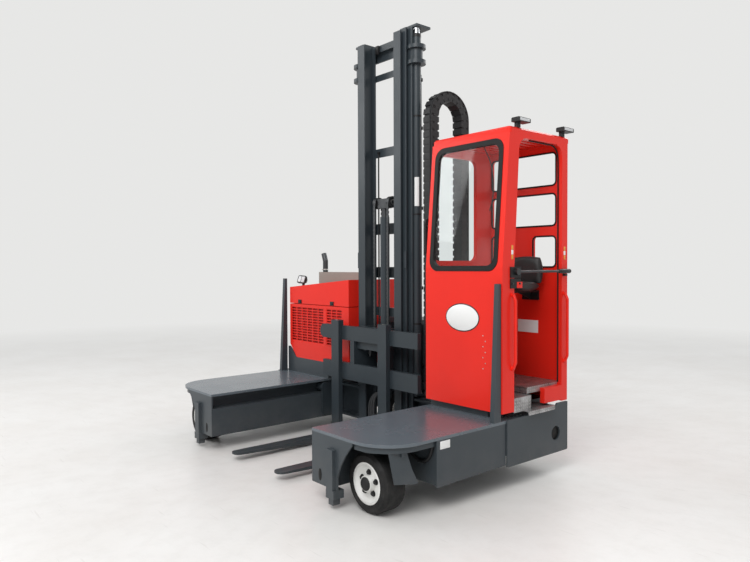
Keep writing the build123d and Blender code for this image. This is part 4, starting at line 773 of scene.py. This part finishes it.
def mast_details():
    """Bands, label, pipes, hoses, clamps, guides and valve block of the mast."""
    black = materials["black_plastic"]
    cylinder_low, cylinder_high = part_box("lift_cylinders")
    radius = 0.038
    cylinder_x = cylinder_high.x - radius
    cylinder_y = (cylinder_low.y + cylinder_high.y) / 2

    # Bands round the lift cylinders, and the glands at their tops.
    band_r, gland_r = radius + 0.0025, radius + 0.002
    band = ((radius, 0), (band_r, 0.001), (band_r, 0.015), (radius, 0.016))
    gland = ((radius, -0.030), (gland_r, -0.028), (gland_r, -0.002), (radius - 0.004, -0.0005))
    bands = bmesh.new()
    for side in SIDES:
        for z in (2.890, 2.046, 1.100):
            turned(bands, band, (side * cylinder_x, cylinder_y, z), UPWARD, steps=32)
        turned(bands, gland, (side * cylinder_x, cylinder_y, cylinder_high.z), UPWARD, steps=32)
    piece("cylinder_bands", bands, materials["lamp"], "reach")

    # Blank label on the near cylinder, wrapped round its front.
    label_low, label_high, label_r = 2.124, 2.372, radius + 0.0006
    first_angle, angle_step = -75, 7.5
    mesh = bmesh.new()
    columns = []
    for i in range(9):
        angle = radians(first_angle + angle_step * i)
        x = cylinder_x + label_r * cos(angle)
        y = cylinder_y + label_r * sin(angle)
        columns.append((mesh.verts.new((x, y, label_low)), mesh.verts.new((x, y, label_high))))
    for a, b in zip(columns, columns[1:]):
        mesh.faces.new((a[0], b[0], b[1], a[1]))
    piece("cylinder_label", mesh, white_sign, "reach")

    # Pipes behind the outer rails, with their clamps.
    pipe_x, pipe_y, pipe_r = 0.328, 0.524, 0.008
    clamp_half, clamp_h = 0.016, 0.030
    pipes = []
    clamps = []
    for side in SIDES:
        x = side * pipe_x
        pipes.append([(x, pipe_y, z) for z in (0.56, 0.80, 1.80, 2.90, 3.28)])
        for z in (0.70, 1.40, 2.10, 2.80, 3.22):
            clamps.append(((x - clamp_half, 0.505, z), (x + clamp_half, 0.536, z + clamp_h)))
    hose("cylinder_pipes", pipes, pipe_r, "reach", materials["steel"])
    boxes("pipe_clamps", clamps, black, "reach")

    # Hoses beside the free-lift cylinder, with their clamps.
    hose_r, clamp_h = 0.007, 0.020
    hose_line = (
        # y, z
        (0.434, 0.590), (0.436, 0.90), (0.436, 1.80), (0.436, 2.50), (0.438, 2.660),
    )
    runs = [[(x, y, z) for y, z in hose_line] for x in (0.132, 0.152, -0.140)]
    hose("free_lift_hoses", runs, hose_r, "inner")
    clamps = []
    for z in (0.600, 1.180, 2.640):
        for low_x, high_x in ((0.120, 0.164), (-0.152, -0.128)):
            clamps.append(((low_x, 0.427, z), (high_x, 0.447, z + clamp_h)))
    boxes("free_lift_hose_clamps", clamps, black, "inner", bevel=0.002)

    # Guides under the inner top bar.
    guide_half = 0.020
    guides = []
    for x in (-0.150, 0.150):
        guides.append(((x - guide_half, 0.425, 3.560), (x + guide_half, 0.448, 3.632)))
    boxes("top_guides", guides, black, "inner")

    # Caps on the ends of the sheaves' pin.
    sheave_low, sheave_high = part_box("free_lift_ram")
    cap = ((0.024, -0.004), (0.024, 0.002), (0.012, 0.004))
    cap_x = sheave_high.x - 0.006
    cap_y = (sheave_low.y + sheave_high.y) / 2
    cap_z = sheave_high.z - 0.052
    mesh = bmesh.new()
    for side in SIDES:
        turned(mesh, cap, (side * cap_x, cap_y, cap_z), (side, 0, 0), steps=24)
    piece("sheave_caps", mesh, bright_steel, "ram")

    # Valve block and looped hoses at the foot of the mast, under the carriage.
    plate = ((-0.165, 0.235, 0.074), (0.165, 0.400, 0.084))
    block = ((0.020, 0.270, 0.083), (0.130, 0.330, 0.300))
    block_top = ((0.030, 0.280, 0.298), (0.120, 0.322, 0.360))
    # The plate takes the mast's darker paint, which is painted shade.
    boxes("valve_plate", [plate], shaded_mast_paint, "reach")
    boxes("valve_block", [block, block_top], materials["cast"], "reach", bevel=0.004)
    port_xs, port_y = (0.045, 0.075, 0.105), 0.300
    fitting_z, fitting_size, cap_size = 0.358, 0.022, 0.020
    fittings = [(x, port_y, fitting_z) for x in port_xs]
    bolt_heads("valve_fittings", fittings, UPWARD, fitting_size, "reach", brass)
    caps = [(x, block[0][1], z) for x in port_xs for z in (0.140, 0.230)]
    bolt_heads("valve_caps", caps, FORWARD, cap_size, "reach", bright_steel)
    loop_r, loop_x, loop_y = 0.011, -0.148, 0.325
    loop_step, loop_back = 0.045, 0.012
    loops = []
    for i, port_x in enumerate(port_xs):
        x = loop_x + loop_step * i
        y = loop_y - loop_back * i
        loops.append([
            (x, y, 0.084), (x - 0.004, y, 0.200), (x + 0.010, y - 0.008, 0.350 + 0.015 * i),
            ((x + port_x) / 2, y - 0.012, 0.452 + 0.010 * i),
            (port_x - 0.006, 0.306, 0.440), (port_x, port_y, 0.372),
        ])
    hose("mast_foot_hoses", loops, loop_r, "reach", hose_grey)


def carriage_details():
    """Chain nuts and fork pins of the carriage."""
    nut_x, nut_y, nut_z = 0.090, 0.286, 0.846
    stud = ((0.010, -0.055), (0.010, 0.004))
    upper_nut = ((0.018, -0.016), (0.018, 0.003))
    lower_nut = ((0.018, -0.036), (0.018, -0.020))
    mesh = bmesh.new()
    for side in SIDES:
        place = (side * nut_x, nut_y, nut_z)
        turned(mesh, stud, place, UPWARD, steps=16)
        turned(mesh, upper_nut, place, UPWARD, steps=6)
        turned(mesh, lower_nut, place, UPWARD, steps=6)
    piece("chain_nuts", mesh, materials["steel"], "fork_carriage", smooth=30)

    pin = ((0.011, -0.006), (0.011, 0.010), (0.016, 0.012), (0.016, 0.018), (0.012, 0.020))
    pin_y, pin_drop = 0.142, 0.018
    pins = bmesh.new()
    for name in ("left_fork", "right_fork"):
        fork_low, fork_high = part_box(name)
        x = (fork_low.x + fork_high.x) / 2
        turned(pins, pin, (x, pin_y, fork_high.z - pin_drop), UPWARD, steps=20)
    piece("fork_pins", pins, bright_steel, "fork_carriage")


def chassis_details():
    """Bungs, caps, screws, label, hoses, reflectors and lifting eyes of the chassis."""
    # Bungs in the slots of the front feet.
    slot_x, slot_y, slot_z = 0.855, -0.950, 0.1975
    half_x, half_z = 0.018, 0.042
    bung = ((1.0, -0.006), (1.0, 0.001), (0.8, 0.002))
    mesh = bmesh.new()
    for side in SIDES:
        oval(mesh, bung, (side * slot_x, slot_y, slot_z), half_x, half_z, steps=32)
    piece("front_slot_bungs", mesh, materials["rubber"], "vehicle")

    # Round caps and screws of the side panels.
    cap_x, cap_y, cap_z = 1.510, 0.793, 0.317
    cap = ((0.0535, 0), (0.0535, 0.004), (0.046, 0.009), (0.001, 0.009))
    mesh = bmesh.new()
    for side in SIDES:
        turned(mesh, cap, (side * cap_x, cap_y, cap_z), (side, 0, 0), steps=40)
    piece("panel_caps", mesh, materials["rubber"], "vehicle")
    screw_x = 1.532
    screw_places = ((0.225, 0.200), (0.225, 0.470), (0.930, 0.200), (0.660, 0.200))
    screw = ((0.011, -0.003), (0.010, -0.0005), (0.006, -0.0002))
    mesh = bmesh.new()
    for side in SIDES:
        for y, z in screw_places:
            turned(mesh, screw, (side * screw_x, y, z), (side, 0, 0), steps=16)
    piece("panel_screws", mesh, materials["steel"], "vehicle")

    # Blank pale label at the front end of the left skirt.
    _, skirt_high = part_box("side_skirts")
    label_out = 0.001
    label_low = (skirt_high.x - label_out, -0.470, 0.418)
    label_high = (skirt_high.x + label_out, -0.378, 0.470)
    boxes("skirt_label", [(label_low, label_high)], white_sign, "vehicle", bevel=0.0004)

    # Hoses behind each front wheel, each hanging lower than the one before it, with collars.
    hose_y, hose_step, sag_step, hose_r = -0.500, 0.028, 0.03, 0.012
    middle_x, middle_z = 1.380, 0.320
    collar = ((0.0145, -0.03), (0.0145, 0.03))
    for side, name in ((1, "left"), (-1, "right")):
        runs = []
        collars = bmesh.new()
        for i in range(3):
            y = hose_y + hose_step * i
            sag = sag_step * i
            middle = (side * middle_x, y, middle_z - sag)
            runs.append([
                (side * 1.100, y, 0.440), (side * 1.190, y - 0.004, 0.420 - sag * 0.7),
                (side * 1.290, y, 0.345 - sag), middle,
                (side * 1.450, y, 0.360 - sag * 0.7), (side * 1.480, y, 0.440),
            ])
            turned(collars, collar, middle, (side, 0, 0.12), steps=14)
        hose(f"{name}_wheel_hoses", runs, hose_r, "vehicle")
        piece(f"{name}_hose_collars", collars, materials["steel"], "vehicle")

    # Round reflectors at the back.
    dome_x, dome_y, dome_z = 1.290, 0.950, 0.400
    dome = ((0.038, 0), (0.038, 0.005), (0.034, 0.009), (0.001, 0.010))
    mesh = bmesh.new()
    for side in SIDES:
        turned(mesh, dome, (side * dome_x, dome_y, dome_z), BACKWARD, steps=32)
    piece("rear_reflectors", mesh, reflector_red, "vehicle")

    # Lifting eyes on the counterweight, each a ring on a foot.
    weight_low, weight_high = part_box("counterweight")
    eye_inset, eye_y, eye_rise = 0.20, 0.775, 0.045
    ring_r, wire_r, ring_points = 0.032, 0.010, 24
    foot = ((0.024, 0), (0.024, 0.008), (0.012, 0.016))
    mesh = bmesh.new()
    for x in (weight_low.x + eye_inset, weight_high.x - eye_inset):
        centre = Vector((x, eye_y, weight_high.z + eye_rise))
        angles = [2 * pi * i / ring_points for i in range(ring_points)]
        ring = [centre + Vector((ring_r * cos(a), 0, ring_r * sin(a))) for a in angles]
        tube(mesh, ring, wire_r, steps=10, closed=True)
        turned(mesh, foot, (x, eye_y, weight_high.z), UPWARD, steps=20)
    piece("lifting_eyes", mesh, materials["steel"], "vehicle")


def carrier_details():
    """Link pins and lid of the hose carrier, and the hoses that run along it."""
    # The carrier is two upright legs joined by a half turn at the top.
    near_y, far_y = 0.428, 0.790
    near_foot, far_foot = 0.620, 1.120
    turn_y = (near_y + far_y) / 2
    turn_r = (far_y - near_y) / 2
    top_z, link_half = 3.090, 0.042
    turn_z = top_z - turn_r - link_half
    middle_x, half_width = 0.550, 0.048
    pitch = 0.062

    places = []
    for leg_y, foot_z in ((near_y, near_foot), (far_y, far_foot)):
        for link in range(int((turn_z - foot_z) / pitch)):
            places.append((leg_y, turn_z - (link + 1) * pitch))
    links = round(pi * turn_r / pitch)
    for link in range(links + 1):
        angle = pi * link / links
        places.append((turn_y + turn_r * cos(angle), turn_z + turn_r * sin(angle)))
    pin = ((0.017, 0), (0.017, 0.003), (0.008, 0.004))
    mesh = bmesh.new()
    for y, z in places:
        for side in SIDES:
            turned(mesh, pin, (middle_x + side * half_width, y, z), (side, 0, 0), steps=12)
    piece("carrier_pins", mesh, materials["lamp"], "vehicle")

    hose_r, flattened, turn_steps = 0.006, 0.006, 18
    hose_places = (
        # x, radius of the turn
        (0.600, turn_r + 0.047),
        (0.584, turn_r + 0.048),
    )
    flex = bmesh.new()
    for x, r in hose_places:
        run = [Vector((x, turn_y - r, z)) for z in (1.10, 1.9, 2.6)]
        for i in range(turn_steps + 1):
            angle = pi - pi * i / turn_steps
            z = turn_z + (r - flattened) * sin(angle)
            run.append(Vector((x, turn_y + r * cos(angle), z)))
        run += [Vector((x, turn_y + r, z)) for z in (2.6, 1.9, 1.2)]
        tube(flex, run, hose_r, steps=8)
    piece("carrier_hoses", flex, hose_rubber, "vehicle")

    lid = ((0.501, near_y - 0.038, 0.640), (0.599, near_y - 0.030, turn_z))
    black = materials["black_plastic"]
    boxes("carrier_lids", [lid], black, "vehicle", bevel=0.002)


cab_details()
seat_details()
hood_details()
mast_details()
carriage_details()
chassis_details()
carrier_details()

FLOOR_HALF = 60.0
FADE_START = 3.5
FADE_END = 14.0
BACKDROP = (0.80, 0.80, 0.79)
DAYLIGHT = (0.97, 0.98, 1.0)
DAYLIGHT_STRENGTH = 0.60


def floor():
    """A pale sealed floor with faint cloudy stains and scuffs."""
    mesh = bmesh.new()
    bmesh.ops.create_grid(mesh, x_segments=1, y_segments=1, size=FLOOR_HALF)
    data = bpy.data.meshes.new("floor")
    mesh.to_mesh(data)
    mesh.free()
    made = bpy.data.objects.new("floor", data)
    bpy.context.collection.objects.link(made)
    s = Shader("pale_floor", rough=0.35)
    stains = s.step(s.noise(0.9, detail=9, rough=0.62), 0.35, 0.75)
    fine = s.step(s.noise(7, detail=8, rough=0.7), 0.45, 0.75)
    tint = s.mix(stains, (0.80, 0.79, 0.77), (0.73, 0.71, 0.68))
    tint = s.mix(s.math("MULTIPLY", fine, 0.22), tint, (0.56, 0.54, 0.51))
    streaks = s.noise(5, detail=4, rough=0.5, vector=s.stretched((0.5, 7, 1)))
    scuffs = s.step(streaks, 0.66, 0.72)
    tint = s.mix(s.math("MULTIPLY", scuffs, 0.20), tint, (0.42, 0.40, 0.37))
    s.bump(s.noise(3, detail=8, rough=0.6), strength=0.03, distance=0.01)
    s.finish(tint, s.step(stains, 0, 1, 0.30, 0.48))

    # Far away the floor turns into the backdrop.
    far = s.node("ShaderNodeVectorMath", operation="LENGTH")
    s.plug(far.inputs[0], s.point)
    glow = s.node("ShaderNodeEmission")
    glow.inputs["Color"].default_value = (*BACKDROP, 1.0)
    fade = s.node("ShaderNodeMixShader")
    s.plug(fade.inputs[0], s.step(far.outputs["Value"], FADE_START, FADE_END))
    s.plug(fade.inputs[1], s.bsdf.outputs[0])
    s.plug(fade.inputs[2], glow.outputs[0])
    s.surface(fade.outputs[0])
    data.materials.append(s.material)


def area_light(name, place, target, size, power):
    """A rectangular light at a place, turned to its target."""
    lamp = bpy.data.lights.new(name, "AREA")
    lamp.shape = "RECTANGLE"
    lamp.size, lamp.size_y = size
    lamp.energy = power
    made = bpy.data.objects.new(name, lamp)
    made.location = place
    made.rotation_euler = (Vector(target) - Vector(place)).to_track_quat("-Z", "Y").to_euler()
    bpy.context.collection.objects.link(made)


def world():
    """Even pale surroundings: the backdrop where they are seen, softer as light."""
    made = bpy.data.worlds.new("hall")
    bpy.context.scene.world = made
    made.use_nodes = True
    tree = made.node_tree
    tree.nodes.clear()

    def larger(a, b):
        """The larger of two values."""
        node = tree.nodes.new("ShaderNodeMath")
        node.operation = "MAXIMUM"
        tree.links.new(a, node.inputs[0])
        tree.links.new(b, node.inputs[1])
        return node.outputs[0]

    def background(colour, strength):
        """Light of one colour from all round."""
        node = tree.nodes.new("ShaderNodeBackground")
        node.inputs["Color"].default_value = (*colour, 1.0)
        node.inputs["Strength"].default_value = strength
        return node.outputs[0]

    path = tree.nodes.new("ShaderNodeLightPath")
    mirrored = larger(path.outputs["Is Glossy Ray"], path.outputs["Is Transmission Ray"])
    seen = larger(path.outputs["Is Camera Ray"], mirrored)
    mix = tree.nodes.new("ShaderNodeMixShader")
    tree.links.new(seen, mix.inputs[0])
    tree.links.new(background(DAYLIGHT, DAYLIGHT_STRENGTH), mix.inputs[1])
    tree.links.new(background(BACKDROP, 1.0), mix.inputs[2])
    output = tree.nodes.new("ShaderNodeOutputWorld")
    tree.links.new(mix.outputs[0], output.inputs["Surface"])


light_table = (
    # name, place, target, size, power
    ("key", (3.5, -5.5, 6.5), (0, 0, 1.0), (5, 4), 420),
    ("fill", (-6.0, -4.0, 5.0), (0, 0, 1.0), (5, 4), 170),
    ("back", (1.0, 6.0, 6.0), (0, 0, 1.5), (6, 3), 160),
)
CAMERA_PLACE = (4.469, -3.514, 1.612)
CAMERA_YAW = 49.756
CAMERA_DOWN = 1.336
CAMERA_ROLL = -0.218
CAMERA_LENS = 31.43
CAMERA_SENSOR = 36.0
CAMERA_REACH = 200

floor()
world()
for light in light_table:
    area_light(*light)

camera = bpy.data.objects.new("camera", bpy.data.cameras.new("camera"))
camera.data.lens = CAMERA_LENS
camera.data.sensor_width = CAMERA_SENSOR
camera.data.clip_end = CAMERA_REACH
camera.matrix_world = (
    Matrix.Translation(CAMERA_PLACE)
    @ Matrix.Rotation(radians(CAMERA_YAW), 4, "Z")
    @ Matrix.Rotation(radians(90 - CAMERA_DOWN), 4, "X")
    @ Matrix.Rotation(radians(CAMERA_ROLL), 4, "Z")
)
bpy.context.collection.objects.link(camera)
bpy.context.scene.camera = camera
bpy.context.scene.view_settings.view_transform = "Standard"
